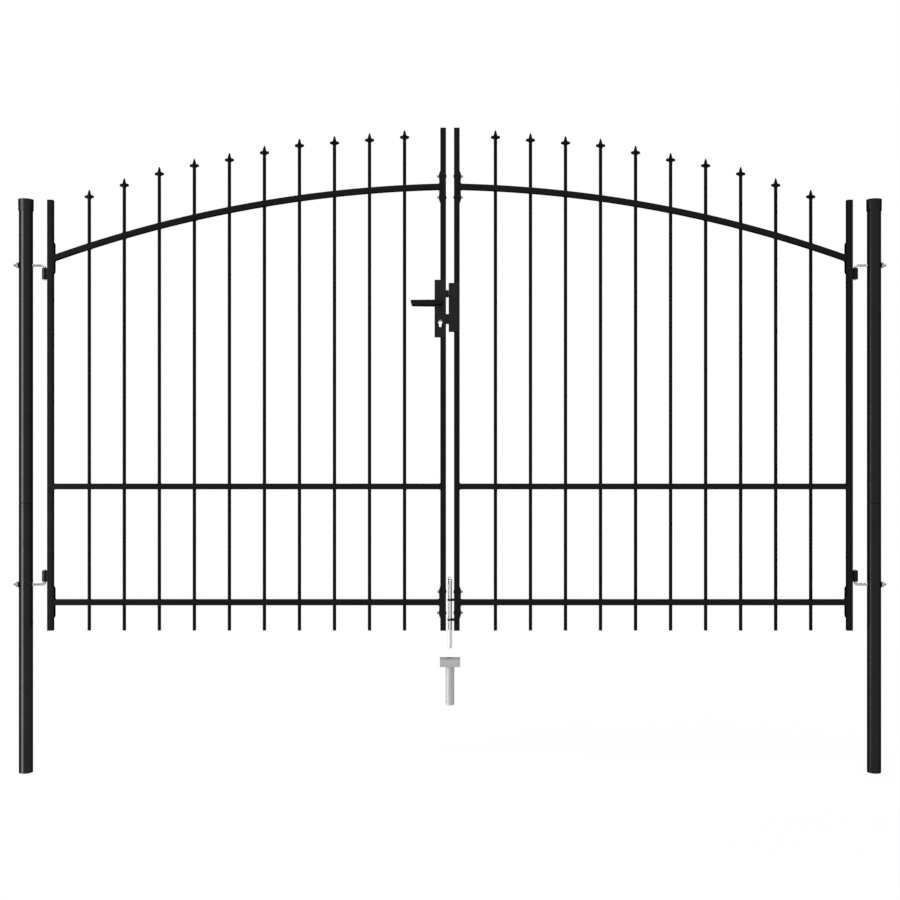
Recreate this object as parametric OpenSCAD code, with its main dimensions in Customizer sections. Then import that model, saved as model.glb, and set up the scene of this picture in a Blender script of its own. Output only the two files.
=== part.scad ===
// Double-leaf driveway gate of square steel tube with an arched top rail, round pickets and spear tips,
// hung on two round posts. Millimetres. The origin is the middle of the left post's foot, +X runs along
// the closed gate to the right post, +Y points to the side the leaves open to, and +Z is up.

/* [Posts] */
// Distance between the axes of the two posts
post_spacing = 2962; // [2600:2:3600]
// Outer diameter of a post tube
post_d = 47.5; // [40:0.5:60]
// Wall of a post tube
post_wall = 2; // [1.5:0.1:3]
// Height of a post tube, without the thickness of its cap
post_h = 1998; // [1850:1:2400]
// Height of the joint between the two lengths of a post
post_joint_z = 940; // [800:1:1200]
// Length of the reduced end of the upper tube that sits in the lower one
post_neck_l = 60; // [40:1:90]
// Wall of a post cap
cap_wall = 1.1; // [0.8:0.1:2]
// Thickness of the top of a post cap
cap_top = 2; // [1.5:0.1:4]
// Height of a post cap
cap_h = 40; // [25:1:60]
// Rounding of the upper edge of a post cap
cap_round = 2; // [1.5:0.1:5]

/* [Leaves] */
// Side of the square tube of the stiles and rails
tube = 20; // [16:0.5:24]
// Wall of the square tube
tube_wall = 1.5; // [1.2:0.1:2.5]
// Height of the lower end of the leaves over the post feet
leaf_lift = 495; // [400:1:600]
// How much longer a stile is on the lock side than on the hinge side
lock_rise = 251; // [150:1:400]
// Gap between the lock stiles of the closed gate
meeting_gap = 27.7; // [27:0.1:36]
// Gap between a post and the hinge stile
hinge_gap = 52.5; // [50:0.5:80]
// Height of the plug that closes the end of a stile
plug_top = 1.5; // [1:0.1:3]
// Length of the stem of a stile plug
plug_stem = 10; // [6:0.5:20]

/* [Rails] */
// Height of the middle of the bottom rail over the lower end of the leaf
bottom_rail_z = 98.5; // [80:0.5:140]
// Height of the middle of the mid rail over the lower end of the leaf
mid_rail_z = 502.8; // [400:0.2:700]
// Distance of the arch from the top of the lock stile
arch_lock_drop = 205; // [160:0.5:240]
// Distance of the arch from the top of the hinge stile
arch_hinge_drop = 204; // [160:0.5:215]
// Radius of the arch
arch_r = 4350; // [3500:10:6000]
// Thickness of the plates at the ends of the rails
plate_t = 4.5; // [3:0.1:6]
// Height of the end plates
plate_h = 110; // [100:1:130]
// Length of the bevelled end of a plate
plate_bevel = 9; // [4:0.5:12]

/* [Plate bolts] */
// Diameter of the bolts that fasten the rails to the lock stile
bolt_d = 6; // [5:0.5:8]
// Distance of a bolt from the middle of its rail
bolt_offset = 37; // [30:0.5:40]
// Diameter of a bolt head
bolt_head_d = 12; // [10:0.5:14]
// Height of a bolt head
bolt_head_h = 1.8; // [1.5:0.1:3]
// Width of a nut across its flats
bolt_nut_w = 8.5; // [8:0.5:13]
// Height of a nut
bolt_nut_h = 5; // [4:0.1:6]
// Length of bolt that stands out of its nut
bolt_tail = 2.5; // [2:0.1:8]

/* [Pickets] */
// Diameter of a picket
picket_d = 12; // [8:0.5:14]
// Number of pickets in a leaf
picket_count = 10; // [8:1:10]
// Distance between the axes of two pickets
picket_pitch = 122.35; // [100:0.05:125]
// Height of a spear's point over the arch
spear_rise = 203; // [120:1:260]
// Height of a spear tip
spear_h = 37.5; // [30:0.5:50]
// Width of a spear tip over its two arms
spear_w = 31; // [24:0.5:36]
// Width of the blade of a spear tip
spear_blade_w = 9.5; // [6:0.1:10]
// Thickness of a spear tip
spear_t = 10; // [7:0.1:12]
// Height of the arms of a spear tip over its lower end
spear_arm_z = 13.5; // [13:0.1:18]
// Height of the end of an arm
spear_arm_h = 6; // [2:0.1:6]

/* [Hinges] */
// Diameter of the hook bolts
hook_d = 10; // [8:0.5:12]
// Radius of the bend of a hook bolt, at the middle of the rod
hook_bend_r = 9.5; // [8:0.1:14]
// Distance from the post's axis to the threaded end of a hook bolt
hook_tail = 41.7; // [41:0.1:60]
// Distance of the upper hook bolt from the top of the hinge stile
upper_hook_drop = 228; // [170:1:350]
// Height of the lower hook bolt over the lower end of the leaf
lower_hook_z = 161; // [150:1:350]
// Outer diameter of a hinge barrel
barrel_d = 20; // [18:0.5:24]
// Height of a hinge barrel
barrel_h = 38.5; // [30:0.5:60]
// Width of the weld between a barrel and its stile
barrel_weld_w = 8; // [5:0.5:12]
// Width of a hook bolt's nut across its flats
hook_nut_w = 17; // [15:0.5:19]
// Height of a hook bolt's nut
hook_nut_h = 8; // [6:0.1:9]
// Thickness of the saddle washer between nut and post
saddle_t = 1.6; // [1.5:0.1:3]
// Height of a saddle washer
saddle_h = 19; // [18:0.5:26]
// Width of a saddle washer, over the chord
saddle_w = 26; // [22:0.5:32]

/* [Lock] */
// Width of the lock case, from the meeting face of the stile
lock_w = 40; // [36:0.1:50]
// Depth of the lock case and of the strike box
lock_depth = 24; // [22:0.5:32]
// Height of the lock case
lock_h = 199.5; // [185:0.5:220]
// Distance from the top of the lock stile to the top of the lock case
lock_drop = 530.5; // [450:0.5:640]
// Wall of the lock case
lock_wall = 2; // [1.5:0.1:2.5]
// Distance from the meeting face to the spindle and the keyhole
lock_backset = 20.2; // [18.5:0.1:21]
// Distance of the spindle from the top of the case
spindle_drop = 80.5; // [76:0.5:84]
// Side of the square spindle
spindle_w = 8; // [6:0.5:10]
// Height of the middle of the keyhole's round part over the lower end of the case
keyhole_z = 52.5; // [45:0.5:53.5]
// Diameter of the keyhole's round part
keyhole_d = 15.2; // [15:0.1:17]
// Height of the keyhole's point over the middle of its round part
keyhole_point = 10.4; // [9.5:0.1:10.5]
// Width of the keyhole's slot
keyhole_slot_w = 8.6; // [7.6:0.1:10]
// Height of the keyhole without its pointed top
keyhole_h = 26; // [24:0.5:34]

/* [Levers] */
// Length of a lever from the spindle to its end
lever_l = 102; // [90:1:125]
// Height of a lever
lever_h = 14; // [11:0.5:18]
// Thickness of a lever
lever_t = 8; // [6:0.5:12]
// Distance from the middle of the stile to the middle of a lever
lever_y = 38; // [30:0.5:60]
// Diameter of the neck that carries a lever
lever_neck_d = 16; // [14:0.5:20]
// Rounding of the lower corner at the end of a lever
lever_round = 8; // [3:0.5:10]

/* [Bolts] */
// Thickness of the latch and of the dead bolt
lock_bolt_t = 9; // [7:0.1:11]
// Height of the latch
latch_h = 25; // [18:0.5:26]
// Distance of the middle of the latch from the top of the case
latch_drop = 48; // [31:0.5:48]
// Height of the dead bolt
dead_bolt_h = 34; // [30:0.5:36]
// Height of the middle of the dead bolt over the lower end of the case
dead_bolt_z = 63.5; // [60:0.5:66]
// Height of the tail of the dead bolt, which runs over the keyhole
dead_tail_h = 16; // [10:0.5:16]
// Length of the latch and of the dead bolt inside the case
lock_bolt_in = 24; // [20:0.5:25]
// Room between the strike box and the ends of the bolts
nose_room = 0.4; // [0.4:0.1:2]
// Depth of the slope on the end of the latch
latch_slope = 4; // [1:0.1:5]

/* [Strike] */
// How far the strike box stands out of its stile
strike_reach = 18.55; // [16:0.05:20]
// How much shorter the strike box is than the lock case
strike_trim = 30; // [6:1:41]
// Height of the lower end of the strike box over that of the lock case
strike_lift = 19; // [6:1:26]
// Thickness of the strike box's face and ends
strike_wall = 2.5; // [1.5:0.1:4]
// Room round the bolts in the strike box's windows
strike_room = 1; // [0.5:0.1:2]

/* [Drop bolt] */
// Diameter of the drop bolt
drop_d = 14; // [12:0.5:15]
// Distance from the lower end of the leaf down to the drop bolt's lower end
drop_reach = 61; // [40:1:90]
// Height of the drop bolt's handle over the lower end of the leaf
drop_handle_lift = 176; // [150:1:260]
// Radius of the handle's bend, at the middle of the rod
drop_bend_r = 12; // [9:0.5:20]
// Length of the handle from the rod's axis
drop_handle_l = 52; // [40:1:80]
// Turn of the handle from straight back, towards the other leaf
drop_handle_turn = 2; // [0:0.5:3]
// Thickness of a drop bolt bracket
bracket_t = 7; // [4:0.5:10]
// Wall of a bracket round the rod
bracket_wall = 2; // [1.5:0.1:3]
// Height of the lower bracket over the lower end of the leaf
lower_bracket_z = 38; // [20:1:45]
// Height of the upper bracket over the lower end of the leaf
upper_bracket_z = 107; // [75:1:115]

/* [Ground socket] */
// Width of the socket's head along the gate
socket_head_w = 71; // [50:1:90]
// Depth of the socket's head across the gate
socket_head_depth = 40; // [34:1:70]
// Height of the socket's head
socket_head_h = 29; // [20:1:40]
// Distance from the lower end of the leaf down to the top of the socket
socket_drop = 96; // [96:1:120]
// Outer diameter of the socket's tube
socket_d = 30.5; // [24:0.5:34]
// Wall of the socket's tube
socket_wall = 2.5; // [2:0.1:4]
// Length of the socket's tube below its head
socket_tube_l = 134; // [80:1:180]

/* [Fits] */
// Room round a turning or sliding shaft
run_fit = 0.08; // [0.05:0.01:0.1]
// Room round a piece that sits in a hole or over a tube
seat_fit = 0.15; // [0.1:0.01:0.25]
// Room between a hinge barrel and the bend of its hook bolt
barrel_room = 0.3; // [0.2:0.05:0.6]
// Room round a bolt in its hole
bolt_fit = 0.2; // [0.1:0.05:0.4]

/* [Hidden] */

// Colours of the finishes
paint = [0.12, 0.12, 0.12];
zinc = [0.66, 0.67, 0.68];
bolt_steel = [0.18, 0.18, 0.19];
plug_black = [0.08, 0.08, 0.08];
socket_grey = [0.7, 0.7, 0.7];

// Smoothness of drawn curves, and how far a cut reaches past the face it opens
$fn = 64;
arch_fn = 1440;
cut = 1;

// Distances from the middle of the gate, the same for both leaves
mid_x = post_spacing / 2;
post_u = mid_x;
meet_u = meeting_gap / 2;
lock_stile_u = meet_u + tube / 2;
lock_inner_u = meet_u + tube;
hinge_outer_u = post_u - post_d / 2 - hinge_gap;
hinge_stile_u = hinge_outer_u - tube / 2;
hinge_inner_u = hinge_outer_u - tube;
pin_u = hinge_outer_u + barrel_d / 2;

// Lengths of the stiles: the hinge stiles end level with the tubes of the posts
hinge_stile_h = post_h - leaf_lift;
lock_stile_h = hinge_stile_h + lock_rise;
hinge_top_z = leaf_lift + hinge_stile_h;
lock_top_z = leaf_lift + lock_stile_h;

// Pickets, spread evenly between the stiles and counted from the lock side
picket_first_u = (lock_stile_u + hinge_stile_u - (picket_count - 1) * picket_pitch) / 2;
picket_cut = [0, -2, 0, 6, 0, -3, 3, 4, -2, -5];
function picket_u(i) = picket_first_u + i * picket_pitch;
function spear_point_z(i) = arch_z(picket_u(i)) + spear_rise + picket_cut[i % len(picket_cut)];
function picket_top_z(i) = spear_point_z(i) - spear_h;

// Arch: a circle through its two ends at the inner faces of the stiles
arch_lock_end = [lock_inner_u, lock_top_z - arch_lock_drop];
arch_hinge_end = [hinge_inner_u, hinge_top_z - arch_hinge_drop];
arch_chord = arch_hinge_end - arch_lock_end;
arch_chord_l = norm(arch_chord);
arch_depth = sqrt(pow(arch_r, 2) - pow(arch_chord_l / 2, 2));
arch_down = [arch_chord[1], -arch_chord[0]] / arch_chord_l;
arch_mid = (arch_lock_end + arch_hinge_end) / 2 + arch_depth * arch_down;
arch_from = atan2(arch_hinge_end[1] - arch_mid[1], arch_hinge_end[0] - arch_mid[0]);
arch_to = atan2(arch_lock_end[1] - arch_mid[1], arch_lock_end[0] - arch_mid[0]);
arch_spare = 0.5;
function arch_z(u) = arch_mid[1] + sqrt(pow(arch_r, 2) - pow(u - arch_mid[0], 2));

// Heights over the post feet
bottom_z = leaf_lift + bottom_rail_z;
mid_z = leaf_lift + mid_rail_z;
upper_arm_z = hinge_top_z - upper_hook_drop;
lower_arm_z = leaf_lift + lower_hook_z;
case_z = lock_top_z - lock_drop - lock_h;
strike_low_z = case_z + strike_lift;
strike_h = lock_h - strike_trim;
spindle_mid_z = case_z + lock_h - spindle_drop;
latch_mid_z = case_z + lock_h - latch_drop;
dead_mid_z = case_z + dead_bolt_z;
drop_tip_z = leaf_lift - drop_reach;
drop_handle_z = leaf_lift + drop_handle_lift;
socket_top_z = leaf_lift - socket_drop;
plate_lock_z = [bottom_z, arch_z(lock_inner_u + plate_t)];
plate_hinge_z = [bottom_z, arch_z(hinge_inner_u - plate_t)];
plate_bolt_z = [for (z = plate_lock_z, side = [-1, 1]) z + side * bolt_offset];

// Lock and strike
spindle_u = meet_u + lock_backset;
lock_far_u = meet_u + lock_w;
strike_u = meet_u - strike_reach;
nose_u = meet_u - (meeting_gap - strike_reach - nose_room);
neck_in_y = lock_depth / 2 - lock_wall;

// Barrels, each just clear of the bend of its hook bolt
barrel_low_z = [lower_arm_z + hook_bend_r + barrel_room, upper_arm_z - hook_bend_r - barrel_room - barrel_h];
pin_over = 4;

module left_side() translate([mid_x, 0, 0]) mirror([1, 0, 0]) children();
module right_side() translate([mid_x, 0, 0]) children();
module both_sides() {
    left_side() children();
    right_side() children();
}

// A block given by its lowest and highest corners
module block(low, high) translate(low) cube(high - low);

// A cylinder along X from one distance to another
module rod_x(from, to, y, z, d) translate([from, y, z]) rotate([0, 90, 0]) cylinder(h = to - from, d = d);

// A hexagon nut along X, with two of its corners up and down
module nut_x(from, to, z, width) {
    translate([from, 0, z]) rotate([0, 90, 0]) cylinder(h = to - from, d = width / cos(30), $fn = 6);
}

module upright_tube(u, low, high) {
    bore = tube - 2 * tube_wall;
    translate([u, 0, low]) linear_extrude(height = high - low) difference() {
        square(tube, center = true);
        square(bore, center = true);
    }
}

module level_tube(from, to, z) {
    bore = tube - 2 * tube_wall;
    translate([from, 0, z]) rotate([90, 0, 90]) linear_extrude(height = to - from) difference() {
        square(tube, center = true);
        square(bore, center = true);
    }
}

module picket_holes() {
    for (i = [0 : picket_count - 1])
        translate([picket_u(i), 0, leaf_lift])
            cylinder(h = spear_point_z(i) - leaf_lift, d = picket_d + 2 * seat_fit);
}

// Posts

module hook_hole(z) rod_x(post_u - post_d, post_u + post_d, 0, z, hook_d + 2 * seat_fit);

module lower_post() {
    difference() {
        translate([post_u, 0, 0]) cylinder(h = post_joint_z, d = post_d);
        translate([post_u, 0, -cut]) cylinder(h = post_joint_z + 2 * cut, d = post_d - 2 * post_wall);
        hook_hole(lower_arm_z);
    }
}

module upper_post() {
    neck_d = post_d - 2 * post_wall - 2 * seat_fit;
    neck_z = post_joint_z - post_neck_l;
    difference() {
        union() {
            translate([post_u, 0, post_joint_z]) cylinder(h = post_h - post_joint_z, d = post_d);
            translate([post_u, 0, neck_z]) cylinder(h = post_neck_l + cut, d = neck_d);
        }
        translate([post_u, 0, neck_z - cut]) cylinder(h = post_h - neck_z, d = neck_d - 2 * post_wall);
        translate([post_u, 0, post_joint_z + post_wall]) cylinder(h = post_h, d = post_d - 2 * post_wall);
        hook_hole(upper_arm_z);
    }
}

module post_cap() {
    cap_d = post_d + 2 * seat_fit + 2 * cap_wall;
    skirt_h = cap_h - cap_round;
    translate([post_u, 0, post_h + cap_top - cap_h]) difference() {
        union() {
            cylinder(h = skirt_h, d = cap_d);
            cylinder(h = cap_h, d = cap_d - 2 * cap_round);
            translate([0, 0, skirt_h]) rotate_extrude() translate([cap_d / 2 - cap_round, 0]) circle(r = cap_round);
        }
        translate([0, 0, -cut]) cylinder(h = cap_h - cap_top + cut, d = post_d + 2 * seat_fit);
    }
}

// Hinges: hook bolts through the posts, and barrels on the hinge stiles

module hook_bolt(arm_z, up) {
    pin_l = barrel_h + barrel_room + pin_over;
    translate([pin_u, 0, arm_z]) mirror([0, 0, up ? 0 : 1]) {
        rod_x(hook_bend_r, post_u + hook_tail - pin_u, 0, 0, hook_d);
        translate([hook_bend_r, 0, hook_bend_r]) rotate([90, 0, 0]) rotate([0, 0, 180])
            rotate_extrude(angle = 90) translate([hook_bend_r, 0]) circle(d = hook_d);
        translate([0, 0, hook_bend_r]) cylinder(h = pin_l, d = hook_d);
    }
}

module hook_nuts() {
    from = post_u + post_d / 2 + seat_fit + saddle_t;
    for (z = [upper_arm_z, lower_arm_z])
        difference() {
            nut_x(from, from + hook_nut_h, z, hook_nut_w);
            rod_x(from - cut, from + hook_nut_h + cut, 0, z, hook_d + 2 * seat_fit);
        }
}

module saddles() {
    inner_d = post_d + 2 * seat_fit;
    for (z = [upper_arm_z, lower_arm_z])
        difference() {
            intersection() {
                translate([post_u, 0, z - saddle_h / 2]) cylinder(h = saddle_h, d = inner_d + 2 * saddle_t);
                block([post_u, -saddle_w / 2, z - saddle_h], [post_u + post_d, saddle_w / 2, z + saddle_h]);
            }
            translate([post_u, 0, z - saddle_h]) cylinder(h = 2 * saddle_h, d = inner_d);
            hook_hole(z);
        }
}

module hinge_barrels() {
    for (z = barrel_low_z)
        difference() {
            union() {
                translate([pin_u, 0, z]) cylinder(h = barrel_h, d = barrel_d);
                block([hinge_outer_u, -barrel_weld_w / 2, z], [pin_u, barrel_weld_w / 2, z + barrel_h]);
            }
            translate([pin_u, 0, z - cut]) cylinder(h = barrel_h + 2 * cut, d = hook_d + 2 * run_fit);
        }
}

// Frame of a leaf

module stile_plugs() {
    stem_w = tube - 2 * tube_wall - 2 * seat_fit;
    stiles = [[lock_stile_u, lock_stile_h], [hinge_stile_u, hinge_stile_h]];
    for (stile = stiles, end = [0, 1])
        translate([stile[0], 0, leaf_lift + end * stile[1]]) mirror([0, 0, end]) {
            translate([0, 0, plug_top / 2]) cube([tube, tube, plug_top], center = true);
            translate([0, 0, plug_top + plug_stem / 2 - cut / 2]) cube([stem_w, stem_w, plug_stem + cut], center = true);
        }
}

module hinge_stile() upright_tube(hinge_stile_u, leaf_lift + plug_top, hinge_top_z - plug_top);

module lock_stile() {
    difference() {
        upright_tube(lock_stile_u, leaf_lift + plug_top, lock_top_z - plug_top);
        for (z = plate_bolt_z)
            rod_x(meet_u - cut, lock_inner_u + cut, 0, z, bolt_d + 2 * bolt_fit);
    }
}

module bottom_rail() {
    difference() {
        level_tube(lock_inner_u + plate_t, hinge_inner_u - plate_t, bottom_z);
        picket_holes();
    }
}

module mid_rail() {
    difference() {
        level_tube(lock_inner_u, hinge_inner_u, mid_z);
        picket_holes();
    }
}

module arch_rail() {
    bore = tube - 2 * tube_wall;
    ends_low = [lock_inner_u + plate_t, -tube, leaf_lift];
    ends_high = [hinge_inner_u - plate_t, tube, arch_mid[1] + arch_r + tube];
    difference() {
        intersection() {
            translate([arch_mid[0], 0, arch_mid[1]]) rotate([90, 0, 0]) rotate([0, 0, arch_from - arch_spare])
                rotate_extrude(angle = arch_to - arch_from + 2 * arch_spare, $fn = arch_fn)
                    translate([arch_r, 0]) difference() {
                        square(tube, center = true);
                        square(bore, center = true);
                    }
            block(ends_low, ends_high);
        }
        picket_holes();
    }
}

module end_plate(z) {
    half = plate_h / 2;
    profile = [[0, -half], [plate_t, plate_bevel - half], [plate_t, half - plate_bevel], [0, half]];
    translate([0, tube / 2, z]) rotate([90, 0, 0]) linear_extrude(height = tube) polygon(profile);
}

module end_plates() {
    difference() {
        translate([lock_inner_u, 0, 0]) for (z = plate_lock_z) end_plate(z);
        for (z = plate_bolt_z)
            rod_x(lock_inner_u - cut, lock_inner_u + plate_t + cut, 0, z, bolt_d + 2 * bolt_fit);
    }
    translate([hinge_inner_u, 0, 0]) mirror([1, 0, 0]) for (z = plate_hinge_z) end_plate(z);
}

module plate_bolts() {
    nut_u = lock_inner_u + plate_t;
    for (z = plate_bolt_z) {
        rod_x(meet_u - bolt_head_h, meet_u, 0, z, bolt_head_d);
        rod_x(meet_u - cut, nut_u + bolt_nut_h + bolt_tail, 0, z, bolt_d);
        nut_x(nut_u, nut_u + bolt_nut_h, z, bolt_nut_w);
    }
}

module pickets() {
    for (i = [0 : picket_count - 1])
        translate([picket_u(i), 0, leaf_lift]) cylinder(h = picket_top_z(i) - leaf_lift, d = picket_d);
}

module spear_tip() {
    half_arm = spear_w / 2;
    half_blade = spear_blade_w / 2;
    half_foot = picket_d / 2;
    arm_low = spear_arm_z - spear_arm_h / 2;
    arm_high = spear_arm_z + spear_arm_h / 2;
    blade_z = arm_high + spear_arm_h;
    shoulder_z = (blade_z + spear_h) / 2;
    right = [[half_foot, 0], [half_foot, arm_low / 2], [half_arm, arm_low], [half_arm, arm_high],
             [half_blade, blade_z], [half_blade, shoulder_z]];
    left = [for (i = [len(right) - 1 : -1 : 0]) [-right[i][0], right[i][1]]];
    translate([0, spear_t / 2, 0]) rotate([90, 0, 0]) linear_extrude(height = spear_t)
        polygon(concat(right, [[0, spear_h]], left));
}

module spear_tips() {
    for (i = [0 : picket_count - 1])
        translate([picket_u(i), 0, picket_top_z(i)]) spear_tip();
}

// Lock on the left leaf: the case stands in a notch of the stile, whose meeting wall runs on past it

module case_notch() {
    block([meet_u + tube_wall, -tube, case_z], [lock_inner_u + cut, tube, case_z + lock_h]);
}

module bolt_window(mid, height, room, from, to) {
    half_y = lock_bolt_t / 2 + room;
    half_z = height / 2 + room;
    block([from, -half_y, mid - half_z], [to, half_y, mid + half_z]);
}

module lock_windows() {
    to = meet_u + tube_wall + seat_fit + lock_wall + cut;
    bolt_window(latch_mid_z, latch_h, bolt_fit, meet_u - cut, to);
    bolt_window(dead_mid_z, dead_bolt_h, bolt_fit, meet_u - cut, to);
}

module keyhole() {
    slot_r = keyhole_slot_w / 2;
    slot_z = keyhole_d / 2 - keyhole_h + slot_r;
    translate([spindle_u, lock_depth, case_z + keyhole_z]) rotate([90, 0, 0])
        linear_extrude(height = 2 * lock_depth) {
            circle(d = keyhole_d);
            rotate(45) square(keyhole_point / sqrt(2));
            translate([0, slot_z]) circle(r = slot_r);
            translate([-slot_r, slot_z]) square([keyhole_slot_w, -slot_z]);
        }
}

module lock_case_body() {
    half = lock_depth / 2;
    strip_u = meet_u + tube_wall + seat_fit;
    difference() {
        block([meet_u, -half, case_z], [lock_far_u, half, case_z + lock_h]);
        block([meet_u - cut, -tube / 2 - seat_fit, case_z - cut], [strip_u, tube / 2 + seat_fit, case_z + lock_h + cut]);
        block([strip_u + lock_wall, -neck_in_y, case_z + lock_wall],
              [lock_far_u - lock_wall, neck_in_y, case_z + lock_h - lock_wall]);
        lock_windows();
        keyhole();
        translate([spindle_u, -lock_depth, spindle_mid_z]) rotate([-90, 0, 0])
            cylinder(h = 2 * lock_depth, d = lever_neck_d + 2 * run_fit);
    }
}

module lever_outline() {
    difference() {
        union() {
            circle(d = lever_neck_d);
            translate([0, -lever_h / 2]) square([lever_l, lever_h]);
        }
        translate([lever_l - lever_round, -lever_h / 2]) difference() {
            translate([0, -cut]) square([lever_round + cut, lever_round + cut]);
            translate([0, lever_round]) circle(r = lever_round);
        }
    }
}

module lever() {
    neck_l = lever_y + lever_t / 2 - neck_in_y;
    translate([spindle_u, 0, spindle_mid_z]) {
        translate([0, -neck_in_y, 0]) rotate([90, 0, 0]) cylinder(h = neck_l, d = lever_neck_d);
        translate([0, lever_t / 2 - lever_y, 0]) rotate([90, 0, 0]) linear_extrude(height = lever_t) lever_outline();
    }
}

module spindle() {
    translate([spindle_u, 0, spindle_mid_z]) cube([spindle_w, 2 * neck_in_y, spindle_w], center = true);
}

module latch() {
    end_u = meet_u + lock_bolt_in;
    half = lock_bolt_t / 2;
    outline = [[nose_u, -half], [end_u, -half], [end_u, half], [nose_u + latch_slope, half]];
    translate([0, 0, latch_mid_z - latch_h / 2]) linear_extrude(height = latch_h) polygon(outline);
}

module dead_bolt_body() {
    half = lock_bolt_t / 2;
    low = dead_mid_z - dead_bolt_h / 2;
    high = dead_mid_z + dead_bolt_h / 2;
    block([nose_u, -half, low], [meet_u + bolt_fit, half, high]);
    block([meet_u, -half, high - dead_tail_h], [meet_u + lock_bolt_in, half, high]);
}

// Strike box and drop bolt on the right leaf

module strike() {
    half = lock_depth / 2;
    high = strike_low_z + strike_h;
    face_u = strike_u + strike_wall;
    difference() {
        block([strike_u, -half, strike_low_z], [lock_inner_u, half, high]);
        block([meet_u, -tube / 2, strike_low_z - cut], [lock_inner_u + cut, tube / 2, high + cut]);
        block([face_u, -tube / 2, strike_low_z + strike_wall], [meet_u + cut, tube / 2, high - strike_wall]);
        bolt_window(latch_mid_z, latch_h, strike_room, strike_u - cut, face_u + cut);
        bolt_window(dead_mid_z, dead_bolt_h, strike_room, strike_u - cut, face_u + cut);
    }
}

module bracket(z) {
    hole_d = drop_d + 2 * run_fit;
    ring_d = hole_d + 2 * bracket_wall;
    translate([0, 0, z - bracket_t / 2]) difference() {
        union() {
            cylinder(h = bracket_t, d = ring_d);
            block([0, -ring_d / 2, 0], [meet_u, ring_d / 2, bracket_t]);
        }
        translate([0, 0, -cut]) cylinder(h = bracket_t + 2 * cut, d = hole_d);
    }
}

module drop_rod() {
    bend_z = drop_handle_z - drop_bend_r;
    rotate([0, 0, drop_handle_turn - 90]) {
        translate([0, 0, drop_tip_z]) cylinder(h = bend_z - drop_tip_z, d = drop_d);
        translate([-drop_bend_r, 0, bend_z]) rotate([90, 0, 0])
            rotate_extrude(angle = 90) translate([drop_bend_r, 0]) circle(d = drop_d);
        translate([-drop_bend_r, 0, drop_handle_z]) rotate([0, -90, 0])
            cylinder(h = drop_handle_l - drop_bend_r, d = drop_d);
    }
}

module socket() {
    head_low = socket_top_z - socket_head_h;
    half_w = socket_head_w / 2;
    half_depth = socket_head_depth / 2;
    tube_low = head_low - socket_tube_l;
    difference() {
        union() {
            block([-half_w, -half_depth, head_low], [half_w, half_depth, socket_top_z]);
            translate([0, 0, tube_low]) cylinder(h = socket_tube_l + cut, d = socket_d);
        }
        translate([0, 0, tube_low - cut])
            cylinder(h = socket_tube_l + socket_head_h + 2 * cut, d = socket_d - 2 * socket_wall);
    }
}

// Sub-parts: the ground side

module left_lower_post() color(paint) left_side() lower_post();
module left_upper_post() color(paint) left_side() upper_post();
module left_post_cap() color(plug_black) left_side() post_cap();
module right_lower_post() color(paint) right_side() lower_post();
module right_upper_post() color(paint) right_side() upper_post();
module right_post_cap() color(plug_black) right_side() post_cap();
module left_upper_hook_bolt() color(zinc) left_side() hook_bolt(upper_arm_z, false);
module left_lower_hook_bolt() color(zinc) left_side() hook_bolt(lower_arm_z, true);
module right_upper_hook_bolt() color(zinc) right_side() hook_bolt(upper_arm_z, false);
module right_lower_hook_bolt() color(zinc) right_side() hook_bolt(lower_arm_z, true);
module hook_bolt_nuts() color(zinc) both_sides() hook_nuts();
module saddle_washers() color(paint) both_sides() saddles();
module ground_socket() color(socket_grey) right_side() socket();

// Sub-parts: the left leaf

module left_hinge_stile() color(paint) left_side() hinge_stile();
module left_lock_stile() color(paint) left_side() difference() {
    lock_stile();
    case_notch();
    lock_windows();
}
module left_stile_plugs() color(plug_black) left_side() stile_plugs();
module left_arch_rail() color(paint) left_side() arch_rail();
module left_mid_rail() color(paint) left_side() mid_rail();
module left_bottom_rail() color(paint) left_side() bottom_rail();
module left_end_plates() color(paint) left_side() end_plates();
module left_plate_bolts() color(zinc) left_side() plate_bolts();
module left_pickets() color(paint) left_side() pickets();
module left_spear_tips() color(paint) left_side() spear_tips();
module left_hinge_barrels() color(paint) left_side() hinge_barrels();

// Sub-parts: the right leaf

module right_hinge_stile() color(paint) right_side() hinge_stile();
module right_lock_stile() color(paint) right_side() lock_stile();
module right_stile_plugs() color(plug_black) right_side() stile_plugs();
module right_arch_rail() color(paint) right_side() arch_rail();
module right_mid_rail() color(paint) right_side() mid_rail();
module right_bottom_rail() color(paint) right_side() bottom_rail();
module right_end_plates() color(paint) right_side() end_plates();
module right_plate_bolts() color(zinc) right_side() plate_bolts();
module right_pickets() color(paint) right_side() pickets();
module right_spear_tips() color(paint) right_side() spear_tips();
module right_hinge_barrels() color(paint) right_side() hinge_barrels();

// Sub-parts: lock, strike and drop bolt

module lock_case() color(paint) left_side() lock_case_body();
module front_lever() color(paint) left_side() lever();
module back_lever() color(paint) left_side() mirror([0, 1, 0]) lever();
module lever_spindle() color(bolt_steel) left_side() spindle();
module latch_bolt() color(bolt_steel) left_side() latch();
module dead_bolt() color(bolt_steel) left_side() dead_bolt_body();
module strike_box() color(paint) right_side() strike();
module drop_bolt_brackets() color(paint) right_side() {
    bracket(leaf_lift + lower_bracket_z);
    bracket(leaf_lift + upper_bracket_z);
}
module drop_bolt() color(zinc) right_side() drop_rod();

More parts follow.
